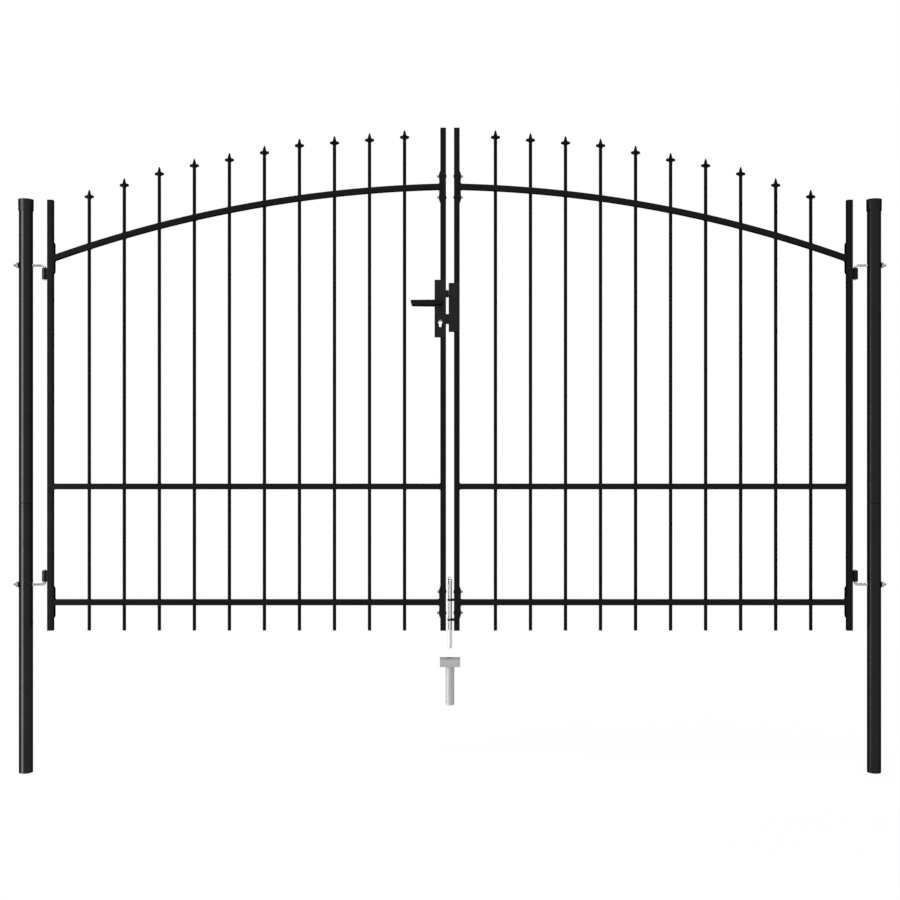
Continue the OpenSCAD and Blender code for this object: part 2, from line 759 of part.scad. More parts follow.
left_lower_post();
left_upper_post();
left_post_cap();
right_lower_post();
right_upper_post();
right_post_cap();
left_upper_hook_bolt();
left_lower_hook_bolt();
right_upper_hook_bolt();
right_lower_hook_bolt();
hook_bolt_nuts();
saddle_washers();
ground_socket();
left_hinge_stile();
left_lock_stile();
left_stile_plugs();
left_arch_rail();
left_mid_rail();
left_bottom_rail();
left_end_plates();
left_plate_bolts();
left_pickets();
left_spear_tips();
left_hinge_barrels();
right_hinge_stile();
right_lock_stile();
right_stile_plugs();
right_arch_rail();
right_mid_rail();
right_bottom_rail();
right_end_plates();
right_plate_bolts();
right_pickets();
right_spear_tips();
right_hinge_barrels();
lock_case();
front_lever();
back_lever();
lever_spindle();
latch_bolt();
dead_bolt();
strike_box();
drop_bolt_brackets();
drop_bolt();
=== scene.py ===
# %% [markdown]
# # A driveway gate in black steel tube
# The gate hangs on two round posts: two leaves of square tube with an arched top rail, round pickets
# with cast spear tips, a lever lock and a drop bolt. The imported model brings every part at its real
# size and place, in metres. This lesson gives each part the roundings, threads, welds and finishes
# that a plain solid lacks, and never moves or resizes a part.

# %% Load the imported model
import math
import random

import bmesh
import bpy
from mathutils import Matrix, Vector


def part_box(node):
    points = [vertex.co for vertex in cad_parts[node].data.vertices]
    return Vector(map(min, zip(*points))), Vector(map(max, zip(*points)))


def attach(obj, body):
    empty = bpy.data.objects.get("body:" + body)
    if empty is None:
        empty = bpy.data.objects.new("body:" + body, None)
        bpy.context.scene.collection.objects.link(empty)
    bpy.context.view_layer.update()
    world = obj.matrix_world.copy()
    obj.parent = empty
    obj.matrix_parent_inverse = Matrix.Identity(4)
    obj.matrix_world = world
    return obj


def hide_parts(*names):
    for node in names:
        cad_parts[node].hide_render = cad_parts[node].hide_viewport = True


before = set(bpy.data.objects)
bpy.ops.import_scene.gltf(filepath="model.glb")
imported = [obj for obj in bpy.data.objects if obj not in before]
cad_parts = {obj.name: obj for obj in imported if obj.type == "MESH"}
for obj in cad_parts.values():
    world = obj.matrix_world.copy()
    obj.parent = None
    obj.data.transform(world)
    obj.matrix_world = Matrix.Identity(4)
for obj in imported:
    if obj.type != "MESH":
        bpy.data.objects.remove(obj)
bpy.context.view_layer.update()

MM = 0.001

# %% [markdown]
# ## Where things are
# Both leaves are alike, mirrored at the middle of the gate. So a piece is drawn once by its distance
# from the middle, positive towards its own post, and then set on the left or the right. The places
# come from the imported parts: a node that holds several like solids is read as runs of points along
# one axis, with a gap between two runs.

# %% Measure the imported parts
MID_X = (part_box("left_lower_post")[0].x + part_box("right_lower_post")[1].x) / 2
TO_MIDDLE = Vector((MID_X, 0, 0))
APART = 50.0 * MM


def span(node):
    """Lowest and highest corner of a part, measured from the middle of the gate."""
    low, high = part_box(node)
    return low - TO_MIDDLE, high - TO_MIDDLE


def runs(node, axis, gap=APART):
    """Boxes of the solids of a node that lie apart by more than gap along one axis."""
    points = [v.co - TO_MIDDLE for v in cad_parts[node].data.vertices]
    points.sort(key=lambda point: point[axis])
    groups = [[points[0]]]
    for point in points[1:]:
        if point[axis] - groups[-1][-1][axis] > gap:
            groups.append([])
        groups[-1].append(point)
    return [(Vector(map(min, zip(*group))), Vector(map(max, zip(*group)))) for group in groups]


lock_stile = span("right_lock_stile")
hinge_stile = span("right_hinge_stile")
post_low, post_high = span("right_lower_post")
TUBE = lock_stile[1].x - lock_stile[0].x
MEET_U = lock_stile[0].x
POST_U = (post_low.x + post_high.x) / 2
print("middle at x =", round(MID_X, 4), "tube", round(TUBE, 4), "post from middle", round(POST_U, 4))

# %% [markdown]
# ## Shader tools
# A finish is a node tree. Reading it is easier as arithmetic, so a wrapped socket adds Math nodes
# when it is used in an expression, and one function makes any other node. What stays the same all
# over a surface is written straight on the shader's own socket.

# %% Wrap sockets for shader arithmetic
class Wire:
    """An output socket; arithmetic on it adds Math nodes to its tree."""

    def __init__(self, tree, socket):
        self.tree = tree
        self.socket = socket

    def _math(self, operation, first, second):
        return add_node(self.tree, "ShaderNodeMath", {"operation": operation}, {0: first, 1: second})

    def __add__(self, other):
        return self._math("ADD", self, other)

    def __sub__(self, other):
        return self._math("SUBTRACT", self, other)

    def __rsub__(self, other):
        return self._math("SUBTRACT", other, self)

    def __mul__(self, other):
        return self._math("MULTIPLY", self, other)

    __radd__ = __add__
    __rmul__ = __mul__


def add_node(tree, kind, settings=None, sockets=None, out=0):
    """A node of any type: its settings first, then values or wires for its sockets."""
    node = tree.nodes.new(kind)
    for name, value in (settings or {}).items():
        setattr(node, name, value)
    for name, value in (sockets or {}).items():
        if isinstance(value, Wire):
            tree.links.new(value.socket, node.inputs[name])
        else:
            node.inputs[name].default_value = value
    return Wire(tree, node.outputs[out]) if node.outputs else node


print("shader tools ready")

# %% [markdown]
# ## Finishes
# Nearly every finish here is a film that is clouded between a dark and a pale tone, with a finer grain
# that roughens it, so one function makes them from two noises. Black paint could be shaded as a plain
# gloss paint, but in white surroundings that turns pale at every glancing angle. So the paint too is
# shaded as a metal, whose reflection at the rim has a grey of its own. Each finish reads Object
# coordinates, which are metres of the real gate: a scale of 900 gives a grain of about a millimetre.

# %% Start a finish
def new_finish(name):
    """An empty material and its tree, with the coordinates of the object."""
    finish = bpy.data.materials.new(name)
    finish.use_nodes = True
    tree = finish.node_tree
    tree.nodes.clear()
    place = add_node(tree, "ShaderNodeTexCoord", out="Object")
    return finish, tree, place


def noise(tree, place, scale, detail=2.0):
    """Cloudy noise from 0 to 1; a scale for each axis stretches it."""
    if isinstance(scale, tuple):
        place = add_node(tree, "ShaderNodeMapping", None, {"Vector": place, "Scale": scale})
        scale = 1.0
    return add_node(tree, "ShaderNodeTexNoise", None, {"Vector": place, "Scale": scale, "Detail": detail})


def blend_colour(tree, share, dark, pale):
    """A colour between two, by a share from 0 to 1; the sockets are those of the colour blend."""
    sockets = {0: share, 6: (*dark, 1), 7: (*pale, 1)}
    return add_node(tree, "ShaderNodeMix", {"data_type": "RGBA"}, sockets, out=2)


def shade(tree, sockets, relief, strength, distance):
    """The surface shader with a small relief, joined to the output."""
    bump = {"Height": relief, "Strength": strength, "Distance": distance}
    normal = add_node(tree, "ShaderNodeBump", None, bump)
    surface = add_node(tree, "ShaderNodeBsdfPrincipled", None, {**sockets, "Normal": normal})
    add_node(tree, "ShaderNodeOutputMaterial", None, {"Surface": surface})


print("finish tools ready")

# %% Clouded film
def clouded_film(name, dark, pale, cloud, grain, rough, rim, relief):
    """A film with the reflection of a metal, clouded between two colours.

    cloud and grain are the scale and detail of two noises, and rough works the roughness out of them.
    rim is the grey of the reflection at a glancing angle, relief the strength and height of the grain.
    """
    finish, tree, place = new_finish(name)
    clouds = noise(tree, place, *cloud)
    grains = noise(tree, place, *grain)
    shade(tree, {
        "Base Color": blend_colour(tree, clouds, dark, pale),
        "Metallic": 1.0,
        "Roughness": rough(clouds, grains),
        "Specular Tint": (rim, rim, rim, 1),
    }, grains, *relief)
    print(name, len(tree.nodes), "nodes")
    return finish


print("film tool ready")

# %% [markdown]
# Powder coat is a satin black film with a fine orange peel, a little uneven in gloss. It is the finish
# of nearly everything here, so it carries the picture: dark faces, and a soft bright line along round
# tubes. One black paint is made in three tones: a paler copy on the posts, the lock and the strike is
# painted light, and a deeper copy on the thin round bars is painted shade.
# The caps of the posts and the plugs of the stiles are moulded plastic: a little duller than the paint,
# with a leathery grain from the mould.

# %% Black paint and plastic
BLACK_RIM = 0.04
COLD = 1.03


def powder_coat(name, dark, pale):
    """Black paint between two grey tones, a shade cold."""
    return clouded_film(
        name, dark=(dark, dark, COLD * dark), pale=(pale, pale, COLD * pale),
        cloud=(14.0, 3.0), grain=(900.0,), rough=lambda cloud, peel: 0.22 + 0.06 * cloud + 0.04 * peel,
        rim=BLACK_RIM, relief=(0.2, 0.1 * MM))


# Paler and deeper copies of one black paint: painted light on posts, lock and strike, painted shade on the
# bars.
LIT_COPY_PAINT = powder_coat("black_post_coat", 0.0160, 0.0212)
PAINT = powder_coat("black_powder_coat", 0.0095, 0.0130)
SHADED_COPY_PAINT = powder_coat("deep_black_powder_coat", 0.0045, 0.0065)
PLASTIC = clouded_film(
    "moulded_black_plastic", dark=[0.0145] * 3, pale=[0.020] * 3, cloud=(30.0,), grain=(1600.0, 3.0),
    rough=lambda flow, grain: 0.3 + 0.08 * flow + 0.05 * grain, rim=BLACK_RIM, relief=(0.25, 0.1 * MM))

# %% [markdown]
# Zinc keeps the fasteners from rusting. On the hook bolts it is a dull pale grey with cloudy patches,
# and on the nuts it has aged a little darker. The drop bolt is drawn rod with a bright plating, so it
# mirrors its surroundings in long streaks. The latch, the dead bolt and the spindle are hard steel,
# oiled rather than painted, and near black: that tone is partly the steel's own and partly painted shade
# for the gap between the stiles where they sit.

# %% Zinc and oiled steel
ALONG_ROD = (900.0, 900.0, 12.0)
ALONG_BOLT = (60.0, 900.0, 900.0)
ZINC = clouded_film(
    "dull_zinc", dark=(0.34, 0.345, 0.35), pale=(0.54, 0.545, 0.55), cloud=(160.0, 4.0), grain=(1400.0,),
    rough=lambda patch, fine: 0.2 + 0.1 * patch, rim=1.0, relief=(0.2, 0.08 * MM))
AGED_ZINC = clouded_film(
    "aged_zinc", dark=(0.28, 0.28, 0.285), pale=(0.46, 0.465, 0.47), cloud=(300.0, 4.0),
    grain=(300.0, 4.0), rough=lambda patch, same: 0.18 + 0.1 * patch, rim=0.4, relief=(0.15, 0.1 * MM))
BRIGHT_ZINC = clouded_film(
    "bright_zinc_rod", dark=(0.50, 0.51, 0.52), pale=(0.56, 0.57, 0.58), cloud=(55.0,),
    grain=(ALONG_ROD, 3.0), rough=lambda cloud, streak: 0.1 + 0.05 * streak, rim=0.5,
    relief=(0.05, 0.03 * MM))
# Near black: partly the steel's own tone, partly painted shade for the gap between the stiles.
DARK_STEEL_AND_SHADE = clouded_film(
    "dark_oiled_steel", dark=(0.012, 0.012, 0.013), pale=(0.022, 0.022, 0.023), cloud=(ALONG_BOLT, 3.0),
    grain=(ALONG_BOLT, 3.0), rough=lambda line, same: 0.32 + 0.14 * line, rim=0.05,
    relief=(0.15, 0.05 * MM))

# %% [markdown]
# The ground socket is hot-dip galvanised, which leaves pale and dark crystals. Its top face and the
# top millimetres of its sides are painted darker: painted shade on the upper face. A cell pattern gives
# the crystals, and the height of a point gives the painted shade.

# %% Galvanised socket
# How far below the top the painted shade is full, and how much further down it fades out.
TOP_SHADE_BELOW = 1.0 * MM
TOP_SHADE_FADE = 2.0 * MM
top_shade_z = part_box("ground_socket")[1].z - TOP_SHADE_BELOW


def galvanised():
    finish, tree, place = new_finish("galvanised_casting")
    crystal = add_node(tree, "ShaderNodeTexVoronoi", None, {"Vector": place, "Scale": 210.0}, out=1)
    tone = add_node(tree, "ShaderNodeRGBToBW", None, {"Color": crystal})
    cloud = noise(tree, place, 45.0, 4.0)
    height = add_node(tree, "ShaderNodeSeparateXYZ", None, {"Vector": place}, out=2)
    fade = {"Value": height, "From Min": top_shade_z - TOP_SHADE_FADE, "From Max": top_shade_z}
    top_shade = add_node(tree, "ShaderNodeMapRange", None, fade)
    # The last term is painted shade: the top of the socket darker, by height.
    share = 0.5 + 0.22 * tone + 0.28 * cloud - 0.5 * top_shade
    shade(tree, {
        "Base Color": blend_colour(tree, share, (0.14, 0.142, 0.145), (0.47, 0.475, 0.48)),
        "Metallic": 0.85,
        "Roughness": 0.5 + 0.14 * cloud,
        "Specular Tint": (0.45, 0.45, 0.45, 1),
    }, cloud, 0.35, 0.6 * MM)
    return finish


GALVANISED = galvanised()
print(GALVANISED.name, len(GALVANISED.node_tree.nodes), "nodes")

# %% [markdown]
# ## Shaping tools
# A few small tools cover every piece: a bar with rounded corners, a turned form (an outline spun
# round an axis), a face drawn on or bent round, and a plate cut from an outline with holes. Each starts
# from a few vertices and lets bmesh operators do the rest. Bevel is always given its profile and a
# material of -1, because its defaults differ from the editor's. A face that has been drawn on stays
# behind inside the shape, so it is deleted.

# %% Move, turn and soften
X_AXIS = Vector((1, 0, 0))
Y_AXIS = Vector((0, 1, 0))
Z_AXIS = Vector((0, 0, 1))
SAME_SPOT = 0.001 * MM


def at(x, y, z):
    return Matrix.Translation((x, y, z))


def turn(degrees, axis):
    return Matrix.Rotation(math.radians(degrees), 4, axis)


def move(bm, matrix):
    """Moves a whole shape."""
    bmesh.ops.transform(bm, matrix=matrix, verts=bm.verts)
    return bm


def face_out(bm):
    """Turns all faces outwards."""
    bmesh.ops.recalc_face_normals(bm, faces=bm.faces)
    return bm


def soften(bm, edges, radius, segments=3):
    """Rounds the given edges."""
    bmesh.ops.bevel(bm, geom=list(edges), offset=radius, offset_type="OFFSET", segments=segments,
                    profile=0.5, affect="EDGES", material=-1, clamp_overlap=True)
    return bm


def sharp_edges(bm, least=30):
    """The edges where two faces meet at an angle, in degrees."""
    return [e for e in bm.edges if len(e.link_faces) == 2 and e.calc_face_angle() > math.radians(least)]


print("moving and softening tools ready")

# %% Bars and turned forms
FULL_TURN = 2 * math.pi
TUBE_ROUND = 1.3 * MM


def block(low, high):
    """A plain block between two corners."""
    bm = bmesh.new()
    low, high = Vector(low), Vector(high)
    bmesh.ops.create_cube(bm, size=1.0)
    bmesh.ops.scale(bm, vec=high - low, verts=bm.verts)
    return move(bm, Matrix.Translation((low + high) / 2))


def soft_block(low, high, radius, segments=3):
    """A block with all its edges rounded."""
    bm = block(low, high)
    return soften(bm, bm.edges, radius, segments)


def tube_bar(low, high, along):
    """A square bar whose long edges are rounded like those of a drawn tube."""
    bm = block(low, high)
    long_edges = [e for e in bm.edges if (e.verts[0].co - e.verts[1].co).cross(along).length < SAME_SPOT]
    return soften(bm, long_edges, TUBE_ROUND, 4)


def turned(outline, steps=48, closed=False):
    """A form turned on a lathe: the outline is pairs of radius and height."""
    bm = bmesh.new()
    points = [bm.verts.new((radius, 0, height)) for radius, height in outline]
    ends = points[1:] + points[:1] if closed else points[1:]
    lines = [bm.edges.new(line) for line in zip(points, ends)]
    bmesh.ops.spin(bm, geom=points + lines, cent=(0, 0, 0), axis=Z_AXIS, angle=FULL_TURN, steps=steps,
                   use_merge=True)
    bmesh.ops.remove_doubles(bm, verts=bm.verts, dist=SAME_SPOT)
    return face_out(bm)


print("shaping tools ready, tube corners", TUBE_ROUND, "m")

# %% Draw faces on
def only(kind, made):
    """The faces or vertices among the new parts of a mesh."""
    return [part for part in made if isinstance(part, kind)]


def drop_inner(bm, face):
    """Deletes a face that has come to lie inside its shape."""
    if any(len(edge.link_faces) > 2 for edge in face.edges):
        bmesh.ops.delete(bm, geom=[face], context="FACES_ONLY")


def extrude_to(bm, face, shift, scale=(1, 1, 1), middle=(0, 0, 0)):
    """Draws a face on and scales it about a point; gives the new face."""
    end = only(bmesh.types.BMFace, bmesh.ops.extrude_face_region(bm, geom=[face])["geom"])[0]
    drop_inner(bm, face)
    bmesh.ops.translate(bm, vec=shift, verts=end.verts)
    bmesh.ops.scale(bm, vec=scale, space=Matrix.Translation(-Vector(middle)), verts=end.verts)
    return end


def bend_to(bm, face, centre, axis, steps):
    """Sweeps a face a quarter turn backwards round an axis; gives the face at the end of the bend."""
    swept = bmesh.ops.spin(bm, geom=[face], cent=centre, axis=axis, angle=-FULL_TURN / 4, steps=steps)
    drop_inner(bm, face)
    return only(bmesh.types.BMFace, swept["geom_last"])[0]


def draw_deep(bm, faces, shift):
    """Draws a patch of faces on as one, which leaves the old faces where they are."""
    made = bmesh.ops.extrude_face_region(bm, geom=faces)["geom"]
    bmesh.ops.translate(bm, vec=shift, verts=only(bmesh.types.BMVert, made))


print("drawing tools ready")

# %% Plates with holes
SAME_PLANE = 0.01


def outline(bm, points):
    """A closed loop of edges through the given points."""
    corners = [bm.verts.new((x, 0, z)) for x, z in points]
    return [bm.edges.new(ends) for ends in zip(corners, corners[1:] + corners[:1])]


def rectangle(low_x, low_z, high_x, high_z):
    """The four corners of a rectangle."""
    return [(low_x, low_z), (high_x, low_z), (high_x, high_z), (low_x, high_z)]


def arc(middle, radius, start, end, steps):
    """Points on an arc, its angles in degrees."""
    turns = [math.radians(start + (end - start) * step / steps) for step in range(steps + 1)]
    return [(middle[0] + radius * math.cos(a), middle[1] + radius * math.sin(a)) for a in turns]


def pierced_plate(outer, holes, depth):
    """A plate in the XZ plane, drawn back to its depth, with holes through it."""
    bm = bmesh.new()
    edges = [edge for points in (outer, *holes) for edge in outline(bm, points)]
    bmesh.ops.triangle_fill(bm, edges=edges, use_beauty=True)
    bmesh.ops.dissolve_limit(bm, angle_limit=SAME_PLANE, verts=bm.verts, edges=bm.edges)
    draw_deep(bm, list(bm.faces), (0, depth, 0))
    return face_out(bm)


print("plate tools ready")

# %% [markdown]
# Shapes are stamped together into one mesh where they belong together. A finished shape is handed in
# with its finish, the body that it rides on, and the imported part that it stands for. A table names the
# record's material slot of each finish, which is looked up but not kept. A piece that both halves of the
# gate have is drawn for the left and then again for the right.

# %% Set shapes together
def stamp(target, tool, *places):
    """Copies a shape into another one at each place, and lets the tool go."""
    pattern = bpy.data.meshes.new("pattern")
    tool.to_mesh(pattern)
    tool.free()
    here = Matrix.Identity(4)
    for place in places or (here,):
        pattern.transform(place @ here.inverted())
        here = place
        target.from_mesh(pattern)
    bpy.data.meshes.remove(pattern)
    return target


def one_each(boxes, draw):
    """A shape drawn for each box, all set together."""
    bm = bmesh.new()
    for low, high in boxes:
        stamp(bm, draw(low, high))
    return bm


print("stamp ready")

# %% Hand pieces in
CRISP = math.radians(40)
SLOTS = {
    "black_paint": (LIT_COPY_PAINT, PAINT, SHADED_COPY_PAINT),
    "black_plastic": (PLASTIC,),
    "zinc": (ZINC, AGED_ZINC, BRIGHT_ZINC, GALVANISED),
    "dark_steel": (DARK_STEEL_AND_SHADE,),
}


def hand_in(name, bm, body, finish, node=None, subdivide=0):
    """Makes the piece: outward normals, smooth faces with crisp edges, its finish and its body."""
    bmesh.ops.dissolve_degenerate(bm, dist=SAME_SPOT, edges=bm.edges)
    face_out(bm)
    mesh = bpy.data.meshes.new(name)
    bm.to_mesh(mesh)
    bm.free()
    mesh.materials.append(finish)
    mesh.shade_smooth()
    piece = bpy.data.objects.new(name, mesh)
    bpy.context.scene.collection.objects.link(piece)
    if subdivide:
        smooth = piece.modifiers.new("smooth casting", "SUBSURF")
        smooth.levels = subdivide
        smooth.render_levels = subdivide
    else:
        mesh.set_sharp_from_angle(angle=CRISP)
        flat = piece.modifiers.new("flat faces stay flat", "WEIGHTED_NORMAL")
        flat.keep_sharp = True
    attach(piece, body)
    next(slot for slot, finishes in SLOTS.items() if finish in finishes)
    if node:
        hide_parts(node)
    print(name, len(mesh.polygons), "faces on", body)


print("slots:", list(SLOTS))

# %% Left and right
SIDES = ("left", "right")


def on_side(bm, side):
    """Sets a shape, drawn from the middle of the gate, on the left or the right."""
    flip = Matrix.Scale(-1 if side == "left" else 1, 4, X_AXIS)
    return move(bm, Matrix.Translation(TO_MIDDLE) @ flip)


def both_sides(body, *pieces):
    """Hands in pieces on the left and then on the right; * in a name stands for the side.

    A piece is its name, the function that draws it, its finish and the part that it stands for.
    """
    for side in SIDES:
        for name, draw, finish, node, *more in pieces:
            names = [word and word.replace("*", side) for word in (name, body, node)]
            hand_in(names[0], on_side(draw(), side), names[1], finish, names[2], *more)


print("sides:", SIDES)

# %% [markdown]
# ## Camera
# The photograph looks square at the gate from the front. The square tubes near the sides of the frame
# look wider than those in the middle, because their inner faces show too, and that gives the distance
# of a 50 mm lens: a little over four metres, at about chest height.

# %% Camera
CAMERA_AWAY = 4.366
CAMERA_HEIGHT = 1.1251
lens = bpy.data.cameras.new("front_camera")
lens.lens = 50.0
lens.sensor_width = 36.0
lens.clip_end = 200.0
camera = bpy.data.objects.new("front_camera", lens)
camera.location = (MID_X, -CAMERA_AWAY, CAMERA_HEIGHT)
camera.rotation_euler = (math.pi / 2, 0, 0)
bpy.context.scene.collection.objects.link(camera)
bpy.context.scene.camera = camera
print("camera", [round(x, 3) for x in camera.location])

# %% [markdown]
# ## Posts and caps
# Each post is a round tube in two lengths. The ends of the tubes are broken by a small chamfer, so the
# joint shows as a fine dark ring. The moulded cap is pushed over the top: nearly flat, widest at its
# upper edge, with a skirt that stands a little proud of the tube. A bevelled cylinder would do for the
# outside, but an outline spun round its axis gives the wall, the chamfers and the cap's curve at once.

# %% Post tubes
POST_WALL = 2.0 * MM
POST_CHAMFER = 0.9 * MM
post_radius = (post_high.x - post_low.x) / 2
top_z = span("right_upper_post")[1].z


def post_tube(low_z, high_z):
    outer = post_radius
    inner = outer - POST_WALL
    chamfered = outer - POST_CHAMFER
    bm = turned([
        (chamfered, low_z), (outer, low_z + POST_CHAMFER), (outer, high_z - POST_CHAMFER),
        (chamfered, high_z), (inner, high_z), (inner, low_z),
    ], steps=96, closed=True)
    return move(bm, at(POST_U, 0, 0))


both_sides(
    "posts",
    ("*_post_lower_tube", lambda: post_tube(post_low.z, post_high.z), LIT_COPY_PAINT, "*_lower_post"),
    ("*_post_upper_tube", lambda: post_tube(post_high.z, top_z), LIT_COPY_PAINT, "*_upper_post"),
)

# %% Post caps
CAP_ROOM = 0.1 * MM
CAP_ROUND = 1.0 * MM
CAP_FLARE = 1.2 * MM
CAP_SKIRT = 0.7 * MM
CAP_DOME = 0.15 * MM
CAP_LIP = (0.3 * MM, 0.4 * MM)
CAP_CROWN = (0.6, 0.35)


def post_cap():
    low, high = span("right_post_cap")
    radius = (high.x - low.x) / 2
    inner = post_radius + CAP_ROOM
    skirt = radius + CAP_SKIRT
    shoulder = radius + CAP_FLARE - CAP_ROUND
    lip_in, lip_up = CAP_LIP
    crown_out, crown_down = CAP_CROWN
    bm = turned([
        (0, top_z), (inner, top_z), (inner, low.z), (skirt - lip_in, low.z), (skirt, low.z + lip_up),
        *arc((shoulder, high.z - CAP_DOME - CAP_ROUND), CAP_ROUND, 0, 90, 6),
        (shoulder * crown_out, high.z - CAP_DOME * crown_down), (0, high.z),
    ], steps=96)
    return move(bm, at(POST_U, 0, 0))


both_sides("posts", ("*_cap", post_cap, PLASTIC, "*_post_cap"))

# %% [markdown]
# ## Threads and nuts
# A thread is the same zigzag at every turn, moved on by one pitch. So the zigzag is spun once round its
# axis while it moves along by one pitch, and the last copy meets the first. It starts and ends beyond
# the rod, and both ends are then cut square. A grooved texture would be quicker, but the outline of the
# hook bolts shows their thread. A nut is a hexagon whose corners are cut by slanting planes.

# %% Threads
THREAD_DEPTH = 0.42
THREAD_CREST = (0.42, 0.58)
CREST_WORN = 0.1
SPARE_TURNS = 2
SEAM = 0.02 * MM


def cut_off(bm, point, normal):
    """Takes away what lies on the far side of a plane and closes the cut."""
    everything = [*bm.verts, *bm.edges, *bm.faces]
    cut = bmesh.ops.bisect_plane(bm, geom=everything, plane_co=point, plane_no=normal, clear_outer=True)
    bmesh.ops.holes_fill(bm, edges=only(bmesh.types.BMEdge, cut["geom_cut"]), sides=0)


def thread(radius, pitch, length, steps=20):
    """A threaded rod along Z from 0 to length; its depth and crest are shares of a pitch."""
    bm = bmesh.new()
    depth = THREAD_DEPTH * pitch
    crest = radius - CREST_WORN * depth
    zigzag = []
    for number in range(-SPARE_TURNS, int(length / pitch) + SPARE_TURNS):
        zigzag += [(radius - depth, number * pitch)]
        zigzag += [(crest, number * pitch + share * pitch) for share in THREAD_CREST]
    points = [bm.verts.new((r, 0, z)) for r, z in zigzag]
    lines = [bm.edges.new(ends) for ends in zip(points, points[1:])]
    bmesh.ops.spin(bm, geom=points + lines, cent=(0, 0, 0), axis=Z_AXIS, dvec=(0, 0, pitch / steps),
                   angle=FULL_TURN, steps=steps, use_merge=False)
    bmesh.ops.remove_doubles(bm, verts=bm.verts, dist=SEAM)
    cut_off(bm, (0, 0, length), Z_AXIS)
    cut_off(bm, (0, 0, 0), -Z_AXIS)
    return face_out(bm)


print("thread tools ready")

# %% Nuts
NUT_LEAN = math.radians(30)
ALONG_X = turn(90, "Y")


def hex_nut(width, height):
    """A hexagon nut along Z from 0 to height, with its corners cut by the chamfer."""
    bm = bmesh.new()
    corner = width / 2 / math.cos(math.radians(30))
    bmesh.ops.create_cone(bm, cap_ends=True, segments=6, radius1=corner, radius2=corner, depth=height)
    move(bm, turn(30, "Z"))
    for step in range(6):
        out = turn(60 * step, "Z") @ X_AXIS
        for end in (-1, 1):
            slant = math.sin(NUT_LEAN) * out + end * math.cos(NUT_LEAN) * Z_AXIS
            cut_off(bm, width / 2 * out + end * height / 2 * Z_AXIS, slant)
    return move(bm, at(0, 0, height / 2))


print("nut tool ready")

# %% [markdown]
# ## Hook bolts
# Each leaf hangs on two hook bolts. The straight end is threaded and goes through the post, with a
# saddle washer and a nut on the outer side. The bent end is the pin that the leaf turns on: the upper
# pins point down and the lower ones up. A curve with a round section could give the bend. Here a disc
# is drawn on from the end of the pin and round the bend, which keeps the chamfer in the same closed mesh.

# %% Hook bolts
HOOK_BEND = 9.5 * MM
HOOK_PITCH = 1.5 * MM
HOOK_PLAIN = 6.0 * MM
HOOK_CHAMFER = 0.8 * MM
THREAD_LAP = 0.2 * MM


def hook_bolt(low, high, up):
    """A bolt drawn with its pin pointing up, then turned over where the pin points down."""
    radius = (high.y - low.y) / 2
    pin_u = low.x + radius
    arm_z = low.z + radius if up else high.z - radius
    pin_top = high.z if up else arm_z + (arm_z - low.z)
    bm = bmesh.new()
    bmesh.ops.create_circle(bm, cap_ends=True, segments=32, radius=radius - HOOK_CHAMFER)
    move(bm, at(pin_u, 0, pin_top) @ turn(180, "X"))
    grow = radius / (radius - HOOK_CHAMFER)
    face = extrude_to(bm, bm.faces[:][0], (0, 0, -HOOK_CHAMFER), (grow, grow, 1), (pin_u, 0, 0))
    face = extrude_to(bm, face, (0, 0, arm_z + HOOK_BEND + HOOK_CHAMFER - pin_top))
    face = bend_to(bm, face, (pin_u + HOOK_BEND, 0, arm_z + HOOK_BEND), Y_AXIS, 12)
    extrude_to(bm, face, (HOOK_PLAIN, 0, 0))
    thread_from = pin_u + HOOK_BEND + HOOK_PLAIN - THREAD_LAP
    stamp(bm, thread(radius, HOOK_PITCH, high.x - thread_from), at(thread_from, 0, arm_z) @ ALONG_X)
    if not up:
        move(bm, at(0, 0, arm_z) @ Matrix.Scale(-1, 4, Z_AXIS) @ at(0, 0, -arm_z))
    return bm


upper_hook = span("right_upper_hook_bolt")
lower_hook = span("right_lower_hook_bolt")
both_sides(
    "posts",
    ("*_upper_hook", lambda: hook_bolt(*upper_hook, False), ZINC, "*_upper_hook_bolt"),
    ("*_lower_hook", lambda: hook_bolt(*lower_hook, True), ZINC, "*_lower_hook_bolt"),
)

# %% Hook bolt nuts and saddle washers
SADDLE_H = 19.0 * MM
SADDLE_T = 1.6 * MM
SADDLE_EDGE = 0.6 * MM
hook_levels = [(low.z + high.z) / 2 for low, high in runs("hook_bolt_nuts", 2)]
nut_low, nut_high = runs("hook_bolt_nuts", 0)[-1]
washer_low, washer_high = runs("saddle_washers", 0)[-1]


def hook_nuts():
    nut = hex_nut(nut_high.y - nut_low.y, nut_high.x - nut_low.x)
    return stamp(bmesh.new(), nut, *(at(nut_low.x, 0, z) @ ALONG_X for z in hook_levels))


def saddle_washers():
    """Strips bent round the post, each from its cross-section swept round the post's axis."""
    bm = bmesh.new()
    outer = washer_high.x - POST_U
    half = math.degrees(math.asin((washer_high.y - washer_low.y) / 2 / outer))
    bmesh.ops.create_grid(bm, x_segments=1, y_segments=1, size=0.5)
    move(bm, at(outer - SADDLE_T / 2, 0, 0) @ turn(90, "X") @ Matrix.Diagonal((SADDLE_T, SADDLE_H, 1, 1)))
    move(bm, turn(-half, "Z"))
    bmesh.ops.spin(bm, geom=list(bm.faces), cent=(0, 0, 0), axis=Z_AXIS, angle=math.radians(2 * half),
                   steps=16)
    bmesh.ops.remove_doubles(bm, verts=bm.verts, dist=SAME_SPOT)
    soften(face_out(bm), sharp_edges(bm), SADDLE_EDGE, 2)
    return stamp(bmesh.new(), bm, *(at(POST_U, 0, z) for z in hook_levels))


